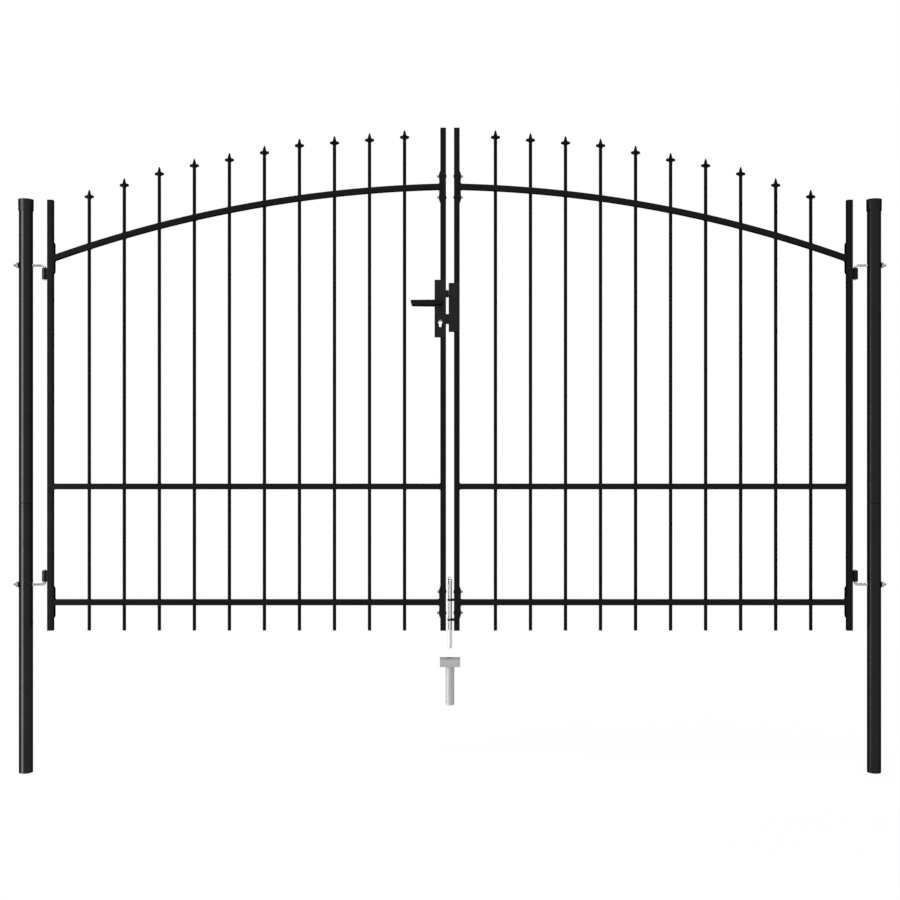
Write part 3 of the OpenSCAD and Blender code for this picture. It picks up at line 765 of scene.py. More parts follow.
both_sides(
    "posts",
    ("*_hook_nuts", hook_nuts, AGED_ZINC, "hook_bolt_nuts"),
    ("*_saddles", saddle_washers, PAINT, "saddle_washers"),
)

# %% [markdown]
# ## Stiles and rails
# The frame of a leaf is drawn square tube, so its long edges are rounded. A bevel of all edges would
# round the sawn ends too, so it is given only the long ones. A moulded plug closes each end of a stile.
# The left lock stile is notched where the lock case stands in it, and only its meeting wall runs on past
# the case, with a window for each bolt.

# %% Stiles
STRIP_T = 1.5 * MM
WINDOW_ROOM = 0.25 * MM
case_low, case_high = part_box("lock_case")
latch_low, latch_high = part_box("latch_bolt")
dead_low, dead_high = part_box("dead_bolt")


def meeting_strip():
    """The wall of the lock stile beside the case, with a window for each of the two bolts."""
    half = TUBE / 2
    side = latch_high.y + WINDOW_ROOM
    windows = [rectangle(-side, low.z - WINDOW_ROOM, side, high.z + WINDOW_ROOM)
               for low, high in ((dead_low, dead_high), (latch_low, latch_high))]
    bm = pierced_plate(rectangle(-half, case_low.z, half, case_high.z), windows, STRIP_T)
    return move(bm, at(MEET_U, 0, 0) @ turn(-90, "Z"))


def stile(low, high, breaks=()):
    """A stile, left open between the two heights of a break."""
    bm = bmesh.new()
    heights = [low.z, *breaks, high.z]
    for low_z, high_z in zip(heights[::2], heights[1::2]):
        stamp(bm, tube_bar((low.x, low.y, low_z), (high.x, high.y, high_z), Z_AXIS))
    return bm


notched = stamp(stile(*lock_stile, (case_low.z, case_high.z)), meeting_strip())
for side, lock_side in zip(SIDES, (notched, stile(*lock_stile))):
    for name, bm in (("hinge", stile(*hinge_stile)), ("lock", lock_side)):
        hand_in(f"{side}_{name}_stile_tube", on_side(bm, side), f"{side}_leaf", PAINT,
                f"{side}_{name}_stile")

# %% Stile plugs
PLUG_ROUND = 0.7 * MM
PLUG_HEAD = Vector((0, 0, lock_stile[0].z - span("right_stile_plugs")[0].z))


def plug(low, high, outer_z):
    """The head of a plug, flush with the tube and rounded at its outer end."""
    bm = tube_bar(low, high, Z_AXIS)
    rim = [e for e in sharp_edges(bm) if all(abs(v.co.z - outer_z) < PLUG_ROUND / 2 for v in e.verts)]
    return soften(bm, rim, PLUG_ROUND, 2)


def stile_plugs():
    plugs = bmesh.new()
    for low, high in (lock_stile, hinge_stile):
        foot = Vector((high.x, high.y, low.z))
        head = Vector((low.x, low.y, high.z))
        stamp(plugs, plug(low - PLUG_HEAD, foot, (low - PLUG_HEAD).z))
        stamp(plugs, plug(head, high + PLUG_HEAD, (high + PLUG_HEAD).z))
    return plugs


both_sides("*_leaf", ("*_plugs", stile_plugs, PLASTIC, "*_stile_plugs"))

# %% [markdown]
# The arched rail is the same tube bent to a radius of a little over four metres. A Curve modifier could
# bend a straight bar. A sweep of the rounded square section round the middle of the arch needs only the
# radius, and keeps the section square to it. Both ends are cut upright at the plates. The other two
# rails are straight.

# %% Line of the arch
ARCH_RADIUS = 4.350
ARCH_LOCK_DROP = 205.0 * MM
ARCH_HINGE_DROP = 204.0 * MM
arch_ends = (Vector((lock_stile[1].x, (lock_stile[1] + PLUG_HEAD).z - ARCH_LOCK_DROP)),
             Vector((hinge_stile[0].x, (hinge_stile[1] + PLUG_HEAD).z - ARCH_HINGE_DROP)))
arch_chord = arch_ends[1] - arch_ends[0]
arch_depth = math.sqrt(ARCH_RADIUS ** 2 - (arch_chord.length / 2) ** 2)
arch_down = Vector((arch_chord.y, -arch_chord.x)).normalized()
arch_middle = (arch_ends[0] + arch_ends[1]) / 2 + arch_depth * arch_down


def arch_z(u):
    """Height of the middle of the arched rail."""
    return arch_middle.y + math.sqrt(ARCH_RADIUS ** 2 - (u - arch_middle.x) ** 2)


def arch_slope(u):
    """Slope angle of the arched rail."""
    return -math.asin((u - arch_middle.x) / ARCH_RADIUS)


print("arch rises from", round(arch_z(arch_ends[1].x), 4), "to", round(arch_z(arch_ends[0].x), 4))

# %% Rails
ARCH_SPARE = math.radians(0.6)
INTO_PLATE = Vector((1.2 * MM, 0, 0))


def rail_box(level):
    """The ends of a rail, reaching a little way into the plates."""
    low, high = span(f"right_{level}_rail")
    return low - INTO_PLATE, high + INTO_PLATE


def arch_rail():
    low, high = rail_box("arch")
    bm = bmesh.new()
    start = arch_slope(low.x) + ARCH_SPARE
    sweep = start - arch_slope(high.x) + ARCH_SPARE
    bmesh.ops.create_grid(bm, x_segments=1, y_segments=1, size=TUBE / 2)
    bmesh.ops.bevel(bm, geom=list(bm.verts), offset=TUBE_ROUND, segments=4, profile=0.5,
                    affect="VERTICES", material=-1)
    move(bm, at(0, 0, ARCH_RADIUS) @ turn(90, "Y"))
    move(bm, at(arch_middle.x, 0, arch_middle.y) @ Matrix.Rotation(-start, 4, "Y"))
    bmesh.ops.spin(bm, geom=list(bm.faces), cent=(arch_middle.x, 0, arch_middle.y), axis=Y_AXIS,
                   angle=sweep, steps=96)
    face_out(bm)
    cut_off(bm, (low.x, 0, 0), -X_AXIS)
    cut_off(bm, (high.x, 0, 0), X_AXIS)
    return bm


both_sides(
    "*_leaf",
    ("*_arch", arch_rail, PAINT, "*_arch_rail"),
    ("*_mid_rail_tube", lambda: tube_bar(*rail_box("mid"), X_AXIS), PAINT, "*_mid_rail"),
    ("*_bottom_rail_tube", lambda: tube_bar(*rail_box("bottom"), X_AXIS), PAINT, "*_bottom_rail"),
)

# %% [markdown]
# ## End plates
# Plates join the arch and the bottom rail to the stiles. On the lock side they are pressed so that they
# swell at the two bolts and run out thin at both ends. On the hinge side they are plain with rounded
# ends. The swelling could be pulled out of a block by hand. A formula for the thickness is easier to
# match to the gate: it shapes a strip of faces, which is then drawn out to the depth of the tube.

# %% Thickness of the plates
PLATE_T = 4.5 * MM
PLATE_H = 110.0 * MM
PLATE_END_T = 0.5 * MM
PLATE_WAIST = 0.8 * MM
PLATE_SWELL = 0.6 * MM
BOLT_OFFSET = 37.0 * MM
SWELL_REACH = 11.0 * MM
LOCK_RUN_OUT = 15.0 * MM
HINGE_RUN_OUT = 13.0 * MM


def lock_plate_t(z):
    """Thickness of a lock-side plate at a height over its middle."""
    away = abs(z)
    swell = math.exp(-((away - BOLT_OFFSET) / SWELL_REACH) ** 2)
    body = PLATE_T - PLATE_WAIST + (PLATE_WAIST + PLATE_SWELL) * swell
    run_out = min(1.0, (PLATE_H / 2 - away) / LOCK_RUN_OUT)
    return PLATE_END_T + (body - PLATE_END_T) * math.sin(run_out * math.pi / 2)


def hinge_plate_t(z):
    """Thickness of a hinge-side plate at a height over its middle."""
    run_out = min(1.0, (PLATE_H / 2 - abs(z)) / HINGE_RUN_OUT)
    return PLATE_END_T + (PLATE_T - PLATE_END_T) * math.sqrt(run_out * (2 - run_out))


print("plates in mm:", [round(lock_plate_t(z) / MM, 2) for z in (0, BOLT_OFFSET, PLATE_H / 2)])

# %% End plates
PLATE_EDGE = 0.7 * MM
RIM_SHARE = 0.8


def end_plate(thickness):
    """A plate standing on the plane X = 0, growing towards +X."""
    bm = bmesh.new()
    bmesh.ops.create_grid(bm, x_segments=1, y_segments=40, size=0.5)
    move(bm, at(0, -TUBE / 2, 0) @ turn(90, "X") @ Matrix.Diagonal((1, PLATE_H, 1, 1)))
    for v in bm.verts:
        v.co.x = thickness(v.co.z) if v.co.x > 0 else 0.0
    draw_deep(bm, list(bm.faces), (0, TUBE, 0))
    rim = [e for e in sharp_edges(face_out(bm)) if all(v.co.x > RIM_SHARE * PLATE_END_T for v in e.verts)]
    return soften(bm, rim, PLATE_EDGE, 2)


bottom_z = sum(corner.z for corner in runs("right_end_plates", 2, PLATE_H)[0]) / 2
lock_plate_u = lock_stile[1].x + PLATE_T
hinge_plate_u = hinge_stile[0].x - PLATE_T
lock_plates_z = (bottom_z, arch_z(lock_plate_u))
hinge_plates_z = (bottom_z, arch_z(hinge_plate_u))


def end_plates():
    lock_places = [at(lock_stile[1].x, 0, z) for z in lock_plates_z]
    hinge_places = [at(hinge_stile[0].x, 0, z) @ turn(180, "Z") for z in hinge_plates_z]
    plates = stamp(bmesh.new(), end_plate(lock_plate_t), *lock_places)
    return stamp(plates, end_plate(hinge_plate_t), *hinge_places)


both_sides("*_leaf", ("*_plates", end_plates, PAINT, "*_end_plates"))

# %% [markdown]
# ## Plate bolts
# A black button head sits on the meeting side of each lock stile. The other end carries a zinc nut and
# a short end of thread, the small pale points beside the plates. They could be flat dots at this size,
# but the flats of a real nut catch the light one by one.

# %% Plate bolts
BOLT_D = 6.0 * MM
BOLT_PITCH = 1.0 * MM
BOLT_NUT_W = 8.5 * MM
BOLT_NUT_H = 5.0 * MM
BOLT_END = 2.5 * MM
BOLT_IN_NUT = 1.0 * MM
HEAD_D = 12.0 * MM
HEAD_H = 1.8 * MM
HEAD_CURVE = ((0, 0), (0.5, 0), (0.5, 0.3), (0.46, 0.62), (0.38, 0.86), (0.26, 1), (0, 1))
bolt_levels = [z + way * BOLT_OFFSET for z in lock_plates_z for way in (-1, 1)]


def bolt_heads():
    """Low domes, their outline given in shares of width and height."""
    head = turned([(HEAD_D * width, HEAD_H * height) for width, height in HEAD_CURVE], steps=24)
    return stamp(bmesh.new(), head, *(at(MEET_U, 0, z) @ turn(-90, "Y") for z in bolt_levels))


def bolt_nuts():
    end = thread(BOLT_D / 2, BOLT_PITCH, BOLT_NUT_H + BOLT_END - BOLT_IN_NUT, 16)
    places = [at(lock_plate_u, 0, z) @ ALONG_X for z in bolt_levels]
    nuts = stamp(bmesh.new(), hex_nut(BOLT_NUT_W, BOLT_NUT_H), *places)
    return stamp(nuts, end, *(place @ at(0, 0, BOLT_IN_NUT) for place in places))


both_sides(
    "*_leaf",
    ("*_bolt_heads", bolt_heads, PAINT, "*_plate_bolts"),
    ("*_bolt_nuts", bolt_nuts, AGED_ZINC, "*_plate_bolts"),
)

# %% [markdown]
# ## Pickets and spear tips
# The pickets are round bars through all three rails, each cut to its own length. A cast spear tip is
# welded on, with a narrow neck at the weld. The tip is a cage of few faces: a stem drawn up step by
# step to the point, and two arms drawn out of its sides. Subdivision then rounds it like a casting. It
# could be sculpted, but a few rows of numbers are easier to fit to the outline of the real one.

# %% Pickets
NECK_D = 11.4 * MM
NECK_FROM = 4.0 * MM
NECK_AT = 1.5 * MM
NECK_IN_TIP = 1.0 * MM
FOOT_CHAMFER = 0.8 * MM
picket_boxes = runs("right_pickets", 0)
PICKET_R = (picket_boxes[0][1].x - picket_boxes[0][0].x) / 2


def picket(low, high):
    length = high.z - low.z
    top = length + NECK_IN_TIP
    bm = turned([
        (0, 0), (PICKET_R - FOOT_CHAMFER, 0), (PICKET_R, FOOT_CHAMFER), (PICKET_R, length - NECK_FROM),
        (NECK_D / 2, length - NECK_AT), (NECK_D / 2, top), (0, top),
    ], steps=28)
    return move(bm, at((low.x + high.x) / 2, 0, low.z))


both_sides("*_leaf", ("*_picket_rods", lambda: one_each(picket_boxes, picket), SHADED_COPY_PAINT, "*_pickets"))

# %% [markdown]
# Each row of the stem is a height, a half width and a half depth in millimetres, and each row of an
# arm is how far it reaches on and the shares of height and depth that it keeps.

# %% Spear tips
TIP_FOOT = (-3.0, 6.0, 6.0)
TIP_STEM = ((0.5, 6.1, 6.0), (3.5, 6.9, 6.2), (6.5, 7.9, 6.0), (19.0, 7.2, 5.2), (23.5, 6.0, 4.6),
            (29.0, 4.9, 3.7), (33.5, 3.3, 2.4), (36.5, 1.6, 1.2), (38.0, 0.5, 0.5))
TIP_ARM = ((3.2, 1.0, 1.1), (3.6, 0.86, 0.95), (2.8, 0.62, 0.8))
ARM_FROM_Z = 6.5 * MM
ARM_TO_Z = 19.0 * MM
SIDEWAYS = 0.9
tip_boxes = runs("right_spear_tips", 0)


def spear_tip():
    bm = bmesh.new()
    height, half_w, half_d = TIP_FOOT
    bmesh.ops.create_circle(bm, cap_ends=True, segments=8, radius=1.0)
    size = Matrix.Diagonal((half_w * MM, half_d * MM, 1, 1))
    move(bm, at(0, 0, height * MM) @ size @ turn(22.5, "Z"))
    face = bm.faces[:][0]
    for next_height, next_w, next_d in TIP_STEM:
        scale = (next_w / half_w, next_d / half_d, 1)
        face = extrude_to(bm, face, (0, 0, (next_height - height) * MM), scale)
        height, half_w, half_d = next_height, next_w, next_d
    face_out(bm)
    for way in (-1, 1):
        flank = [f for f in bm.faces if f.normal.x * way > SIDEWAYS
                 and ARM_FROM_Z < f.calc_center_median().z < ARM_TO_Z][0]
        for reach, tall, deep in TIP_ARM:
            middle = (0, 0, flank.calc_center_median().z)
            flank = extrude_to(bm, flank, (way * reach * MM, 0, 0), (1, deep, tall), middle)
    return bm


def spear_tips():
    places = [at((low.x + high.x) / 2, 0, low.z) for low, high in tip_boxes]
    return stamp(bmesh.new(), spear_tip(), *places)


both_sides("*_leaf", ("*_tips", spear_tips, SHADED_COPY_PAINT, "*_spear_tips", 2))

# %% [markdown]
# ## Hinge barrels and welds
# Short barrels on the hinge stiles take the pins. Everything in a leaf is welded before it is painted:
# a small uneven ring round each picket at each rail, and short beads at the ends of the rails and along
# the barrels. A bump pattern could stand for them, but welds show in the outline of the corners. So a
# bead is a row of small drops, each a little different in size and place.

# %% Hinge barrels
BARREL_CHAMFER = 1.0 * MM
PIN_ROOM = 0.08 * MM
barrel_boxes = runs("right_hinge_barrels", 2)


def hinge_barrel(low, high):
    radius = (high.y - low.y) / 2
    bore = (upper_hook[1].y - upper_hook[0].y) / 2 + PIN_ROOM
    height = high.z - low.z
    fine = BARREL_CHAMFER / 2
    bm = turned([
        (bore, fine), (bore + fine, 0), (radius - BARREL_CHAMFER, 0), (radius, BARREL_CHAMFER),
        (radius, height - BARREL_CHAMFER), (radius - BARREL_CHAMFER, height), (bore + fine, height),
        (bore, height - fine),
    ], closed=True)
    return move(bm, at(high.x - radius, 0, low.z))


both_sides("*_leaf", ("*_barrels", lambda: one_each(barrel_boxes, hinge_barrel), PAINT, "*_hinge_barrels"))

# %% Weld tools
BEAD_R = 2.1 * MM
BEAD_STEP = 0.85
DROP_SIZE = (0.85, 1.1)
DROP_STRAY = 0.12
RING_LEG = 1.7 * MM
RING_LAP = 0.3 * MM
RING_TOP = 0.2 * MM
RING_SUNK = 0.5 * MM
RING_HOLLOW = (0.35, 0.4)
TOE_WANDER = (0.92, 1.1)
drops = random.Random(7)


def weld_bead(target, start, end, radius=BEAD_R):
    """A row of drops from one point to another."""
    start, end = Vector(start), Vector(end)
    count = max(3, round((end - start).length / (BEAD_STEP * radius)))
    for number in range(count + 1):
        drop = bmesh.new()
        size = radius * drops.uniform(*DROP_SIZE)
        bmesh.ops.create_uvsphere(drop, u_segments=8, v_segments=6, radius=size)
        spot = start.lerp(end, number / count)
        spot += Vector(drops.uniform(-DROP_STRAY, DROP_STRAY) * radius for _ in range(3))
        stamp(target, drop, Matrix.Translation(spot))


def weld_ring():
    """A fillet round a picket, its toe wandering a little."""
    inner = PICKET_R - RING_LAP
    toe = PICKET_R + RING_LEG
    hollow_out, hollow_up = RING_HOLLOW
    bm = turned([
        (inner, RING_LEG), (PICKET_R + RING_TOP, RING_LEG),
        (PICKET_R + hollow_out * RING_LEG, hollow_up * RING_LEG),
        (toe, 0), (toe, -RING_SUNK), (inner, -RING_SUNK),
    ], steps=20, closed=True)
    for v in bm.verts:
        if v.co.xy.length > PICKET_R:
            v.co.xy *= drops.uniform(*TOE_WANDER)
    return bm


print("weld tools ready")

# %% Welds
BEAD_OUT = 0.6 * MM
BARREL_BEAD_R = 2.4 * MM
BARREL_BEAD_Y = 5.2 * MM
BARREL_BEAD_END = 3.0 * MM
mid_z = sum(corner.z for corner in span("right_mid_rail")) / 2


def rail_end_beads(target, u, z, way, slope=0.0):
    """Beads over and under the end of a rail that runs from u in the given way."""
    half = TUBE / 2
    bead_u = u + way * BEAD_OUT
    for edge in (-1, 1):
        bead_z = z + edge * half / math.cos(slope)
        weld_bead(target, (bead_u, -half + BEAD_R, bead_z), (bead_u, half - BEAD_R, bead_z))


def leaf_welds():
    welds = bmesh.new()
    for low, high in picket_boxes:
        u = (low.x + high.x) / 2
        for z, slope in ((bottom_z, 0.0), (mid_z, 0.0), (arch_z(u), arch_slope(u))):
            rail = at(u, 0, z) @ Matrix.Rotation(-slope, 4, "Y")
            stamp(welds, weld_ring(), rail @ at(0, 0, TUBE / 2))
            stamp(welds, weld_ring(), rail @ at(0, 0, -TUBE / 2) @ turn(180, "X"))
    straight_rails = ((lock_plate_u, hinge_plate_u, bottom_z), (lock_stile[1].x, hinge_stile[0].x, mid_z))
    for lock_u, hinge_u, z in straight_rails:
        rail_end_beads(welds, lock_u, z, 1)
        rail_end_beads(welds, hinge_u, z, -1)
    for u, way in ((lock_plate_u, 1), (hinge_plate_u, -1)):
        rail_end_beads(welds, u, arch_z(u), way, arch_slope(u))
    u = hinge_stile[1].x + BEAD_OUT
    for low, high in barrel_boxes:
        for y in (-BARREL_BEAD_Y, BARREL_BEAD_Y):
            ends = ((u, y, low.z + BARREL_BEAD_END), (u, y, high.z - BARREL_BEAD_END))
            weld_bead(welds, *ends, BARREL_BEAD_R)
    return welds


both_sides("*_leaf", ("*_welds", leaf_welds, PAINT, None))

# %% [markdown]
# ## Lock
# The lock case is a flat box with rounded edges and a keyhole for a profile cylinder, which is empty, so
# that daylight shows through it. A Boolean modifier could cut the hole. Here the outline of the front
# and that of the hole are filled together, and the fill is drawn back to the depth of the case, which
# leaves clean edges to round. A plate of the lock's works shows grey in the top of the keyhole.

# %% Keyhole
KEYHOLE_D = 15.2 * MM
KEYHOLE_POINT = 10.4 * MM
KEYHOLE_SLOT = 8.6 * MM
KEYHOLE_H = 26.0 * MM
KEYHOLE_UP = 52.5 * MM
spindle_low, spindle_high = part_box("lever_spindle")
lock_axis = (spindle_low + spindle_high) / 2


def keyhole():
    """A round hole with a pointed top and a slot hanging from it."""
    x, z = lock_axis.x, case_low.z + KEYHOLE_UP
    radius = KEYHOLE_D / 2
    slot = KEYHOLE_SLOT / 2
    meets = math.degrees(math.asin(slot / radius))
    slot_z = z + radius - KEYHOLE_H + slot
    peak = 45 + math.degrees(math.acos(KEYHOLE_POINT / (radius * math.sqrt(2))))
    right = arc((x, z), radius, -90 + meets, peak, 12)
    left = arc((x, z), radius, 180 - peak, 270 - meets, 12)
    return right + [(x, z + KEYHOLE_POINT)] + left + arc((x, slot_z), slot, 180, 360, 12)


print("keyhole of", len(keyhole()), "points")

# %% Lock case
CASE_ROUND = 1.6 * MM
CASE_ROOM = 0.1 * MM
LIP_ROOM = 0.15 * MM
LIP_LAP = 1.0 * MM
LIP_ROUND = 0.5 * MM


def lock_case():
    """The case behind the wall of the stile, with a lip in front of that wall and one behind it."""
    right = case_high.x - STRIP_T - CASE_ROOM
    outer = rectangle(case_low.x, case_low.z, right, case_high.z)
    bm = move(pierced_plate(outer, [keyhole()], case_high.y - case_low.y), at(0, case_low.y, 0))
    soften(bm, sharp_edges(bm), CASE_ROUND)
    lip = soft_block((right - LIP_LAP, TUBE / 2 + LIP_ROOM, case_low.z), case_high, LIP_ROUND, 2)
    return stamp(bm, lip, *(Matrix.Scale(way, 4, Y_AXIS) for way in (-1, 1)))


hand_in("lock_body", lock_case(), "left_leaf", LIT_COPY_PAINT, "lock_case")

# %% Plate inside the lock
INNER_PLATE_UP = 54.2 * MM
INNER_PLATE_T = 4.0 * MM
INNER_PLATE_LAP = 1.0 * MM
INNER_PLATE_TALL = 1.5
inner_half = Vector((KEYHOLE_D / 2 + INNER_PLATE_LAP, INNER_PLATE_T / 2, 0))
inner_top = KEYHOLE_UP + INNER_PLATE_TALL * inner_half.x
inner_low = Vector((lock_axis.x, 0, case_low.z + INNER_PLATE_UP)) - inner_half
inner_high = Vector((lock_axis.x, 0, case_low.z + inner_top)) + inner_half
hand_in("lock_inner_plate", block(inner_low, inner_high), "left_leaf", AGED_ZINC)

# %% [markdown]
# The two levers are flat bars on round necks. The free end of each bar has a well rounded lower corner,
# and all edges are softened by the casting and the paint. A bevel of the sharp edges alone leaves the
# curves of the outline as they are. The neck is a turned form: its outline is given by steps from its
# own radius, over the case at one end and over the bar at the other.

# %% Outline and neck of a lever
LEVER_ROOT_H = 16.0 * MM
LEVER_H = 14.0 * MM
LEVER_TOP_ROUND = 1.2 * MM
LEVER_CUT = (9.5 * MM, 5.0 * MM)
NECK_FOOT = ((1.5, -1.0), (1.5, 1.2), (0.5, 2.2), (-1.0, 4.0))
NECK_TOP = ((-1.0, -4.0), (0.0, -3.0), (0.0, -1.4), (-1.4, 0.2))


def lever_outline(end_x):
    """From the root along the top to the free end and back underneath, its corners rounded."""
    x, z = lock_axis.x, lock_axis.z
    long, tall = LEVER_CUT
    root = arc((x, z), LEVER_ROOT_H / 2, -90, 90, 16)
    top = arc((end_x + LEVER_TOP_ROUND, z + LEVER_H / 2 - LEVER_TOP_ROUND), LEVER_TOP_ROUND, 90, 180, 4)
    corner = arc((1, 1), 1, 180, 270, 8)
    return root + top + [(end_x + long * u, z - LEVER_H / 2 + tall * v) for u, v in corner]


def lever_neck(radius, reach):
    """The neck along Z from the case to the bar."""
    steps = [(radius + out * MM, up * MM) for out, up in NECK_FOOT]
    steps += [(radius + out * MM, reach + up * MM) for out, up in NECK_TOP]
    return turned([(0, steps[0][1]), *steps, (0, steps[-1][1])], steps=40)


print("lever outline of", len(lever_outline(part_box("front_lever")[0].x)), "points")

# %% Levers
LEVER_T = 8.0 * MM
LEVER_EDGE = 1.4 * MM


def lever(low, high, way):
    """A lever on the side of the gate that way points to: -1 is the front."""
    outer_y = low.y if way < 0 else high.y
    bm = bmesh.new()
    bmesh.ops.edgeloop_fill(bm, edges=outline(bm, lever_outline(low.x)))
    draw_deep(bm, list(bm.faces), (0, -way * LEVER_T, 0))
    move(face_out(bm), at(0, outer_y, 0))
    soften(bm, sharp_edges(bm, 60), LEVER_EDGE)
    neck = lever_neck((high.z - low.z) / 2, abs(outer_y) - case_high.y)
    return stamp(bm, neck, at(lock_axis.x, way * case_high.y, lock_axis.z) @ turn(-way * 90, "X"))


hand_in("lever_front", lever(*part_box("front_lever"), -1), "lever", PAINT, "front_lever")
hand_in("lever_back", lever(*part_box("back_lever"), 1), "lever", PAINT, "back_lever")

# %% [markdown]
# The latch has a slope that lets it ride over the strike as the gate falls shut, and the dead bolt is a
# plain bar that the key throws. Both look out of the meeting face and end flush with the strike box,
# which is a channel round the stile of the other leaf with a pocket for each of them. The slope is a
# block with one end moved back on one side. The pockets are faces of the channel that are pushed in.

# %% Latch and dead bolt
BOLT_EDGE = 0.3 * MM
LATCH_SLOPE = 4.0 * MM
TAIL_H = 16.0 * MM
TAIL_LAP = 1.0 * MM
NOSE_IN = 2.0 * MM
NOSE_ON = Vector((0.4 * MM, 0, 0))


def latch():
    bm = block(latch_low, latch_high + NOSE_ON)
    for v in bm.verts:
        if v.co.x > latch_high.x and v.co.y > 0:
            v.co.x -= LATCH_SLOPE
    return soften(bm, bm.edges, BOLT_EDGE)


def dead_bolt():
    """The nose of the bolt, and a lower tail behind it that passes over the keyhole."""
    nose_x = MID_X - MEET_U - NOSE_IN
    bm = soft_block((nose_x, dead_low.y, dead_low.z), dead_high + NOSE_ON, BOLT_EDGE)
    tail_end = (nose_x + TAIL_LAP, dead_high.y, dead_high.z)
    return stamp(bm, block((dead_low.x, dead_low.y, dead_high.z - TAIL_H), tail_end))


hand_in("latch", latch(), "latch", DARK_STEEL_AND_SHADE, "latch_bolt")
hand_in("dead_bolt_bar", dead_bolt(), "dead_bolt_slider", DARK_STEEL_AND_SHADE, "dead_bolt")
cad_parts["lever_spindle"].data.materials.clear()
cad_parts["lever_spindle"].data.materials.append(DARK_STEEL_AND_SHADE)

# %% Strike box
STRIKE_ROUND = 1.6 * MM
POCKET_DEEP = 15.0 * MM
POCKET_ROOM = 1.0 * MM
FACING = 0.99


def strike_box():
    """A soft block whose meeting face is cut along the pockets' edges, and the pockets pushed in."""
    bm = soft_block(*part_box("strike_box"), STRIKE_ROUND)
    half = latch_high.y + POCKET_ROOM
    pockets = [(low.z - POCKET_ROOM, high.z + POCKET_ROOM)
               for low, high in ((dead_low, dead_high), (latch_low, latch_high))]
    cuts = [(Y_AXIS, (0, y, 0)) for y in (-half, half)]
    cuts += [(Z_AXIS, (0, 0, z)) for pocket in pockets for z in pocket]
    for normal, point in cuts:
        front = {part for f in bm.faces if f.normal.x < -FACING for part in (f, *f.edges, *f.verts)}
        bmesh.ops.bisect_plane(bm, geom=list(front), plane_co=point, plane_no=normal)
    for low_z, high_z in pockets:
        mouth = [f for f in bm.faces if f.normal.x < -FACING and abs(f.calc_center_median().y) < half / 2
                 and low_z < f.calc_center_median().z < high_z]
        draw_deep(bm, mouth, (POCKET_DEEP, 0, 0))
        bmesh.ops.delete(bm, geom=mouth, context="FACES_ONLY")
    return bm


hand_in("strike", strike_box(), "right_leaf", LIT_COPY_PAINT, "strike_box")

# %% [markdown]
# ## Drop bolt and ground socket
# The drop bolt slides in two eyes on the right leaf and is lifted by its bent end. It drops into the
# galvanised socket, a block on a tube that is set in the ground. The rod is drawn on from its tip and
# bent like the hook bolts, and eyes and socket are plates with a round hole.

# %% Drop bolt
DROP_BEND = 12.0 * MM
DROP_TURN = 2
DROP_CHAMFER = 1.6 * MM
DROP_HANDLE = 52.0 * MM
drop_low, drop_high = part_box("drop_bolt")
DROP_R = drop_high.x - MID_X


def drop_bolt():
    """A rod drawn up from its tip and bent back at the top, with chamfered ends."""
    bm = bmesh.new()
    handle_z = drop_high.z - DROP_R
    bend_z = handle_z - DROP_BEND
    grow = DROP_R / (DROP_R - DROP_CHAMFER)
    bmesh.ops.create_circle(bm, cap_ends=True, segments=40, radius=DROP_R - DROP_CHAMFER)
    move(bm, at(0, 0, drop_low.z))
    face = extrude_to(bm, bm.faces[:][0], (0, 0, DROP_CHAMFER), (grow, grow, 1))
    face = extrude_to(bm, face, (0, 0, bend_z - drop_low.z - DROP_CHAMFER))
    face = bend_to(bm, face, (0, DROP_BEND, bend_z), X_AXIS, 16)
    face = extrude_to(bm, face, (0, DROP_HANDLE - DROP_BEND - DROP_CHAMFER, 0))
    extrude_to(bm, face, (0, DROP_CHAMFER, 0), (1 / grow, 1, 1 / grow), (0, 0, handle_z))
    return move(bm, Matrix.Translation(TO_MIDDLE) @ turn(DROP_TURN, "Z"))


hand_in("drop_bolt_rod", drop_bolt(), "drop_bolt_slider", BRIGHT_ZINC, "drop_bolt")

# %% Drop bolt eyes
EYE_ROOM = 0.08 * MM
EYE_WALL = 2.0 * MM
EYE_LAP = 0.5 * MM
EYE_EDGE = 0.6 * MM


def circle(radius, steps):
    """Points all round a circle; the last one stops a step short of the first."""
    return arc((0, 0), radius, 0, 360 - 360 / steps, steps - 1)


def eye(low, high):
    """A plate with a round end and a hole, lying level, welded to the stile."""
    hole = DROP_R + EYE_ROOM
    ring = hole + EYE_WALL
    root = MEET_U + EYE_LAP
    bm = pierced_plate([(root, -ring), (root, ring), *arc((0, 0), ring, 90, 270, 24)], [circle(hole, 40)],
                       high.z - low.z)
    soften(bm, sharp_edges(bm), EYE_EDGE, 2)
    return move(bm, at(MID_X, 0, low.z) @ turn(90, "X"))


eyes = one_each(runs("drop_bolt_brackets", 2), eye)
hand_in("drop_bolt_eyes", eyes, "right_leaf", PAINT, "drop_bolt_brackets")

# %% Ground socket
SOCKET_ROUND = 2.2 * MM
SOCKET_WALL = 2.5 * MM
SOCKET_TUBE_D = 30.5 * MM
SOCKET_HEAD_H = 29.0 * MM
SOCKET_LAP = 1.0 * MM
SOCKET_WELD = ((2.5, 1.0), (2.2, -0.5), (0.6, -2.0), (0.0, -4.0))
SOCKET_OUTER_CHAMFER = (0.8 * MM, 1.0 * MM)
SOCKET_INNER_CHAMFER = (0.4 * MM, 0.6 * MM)


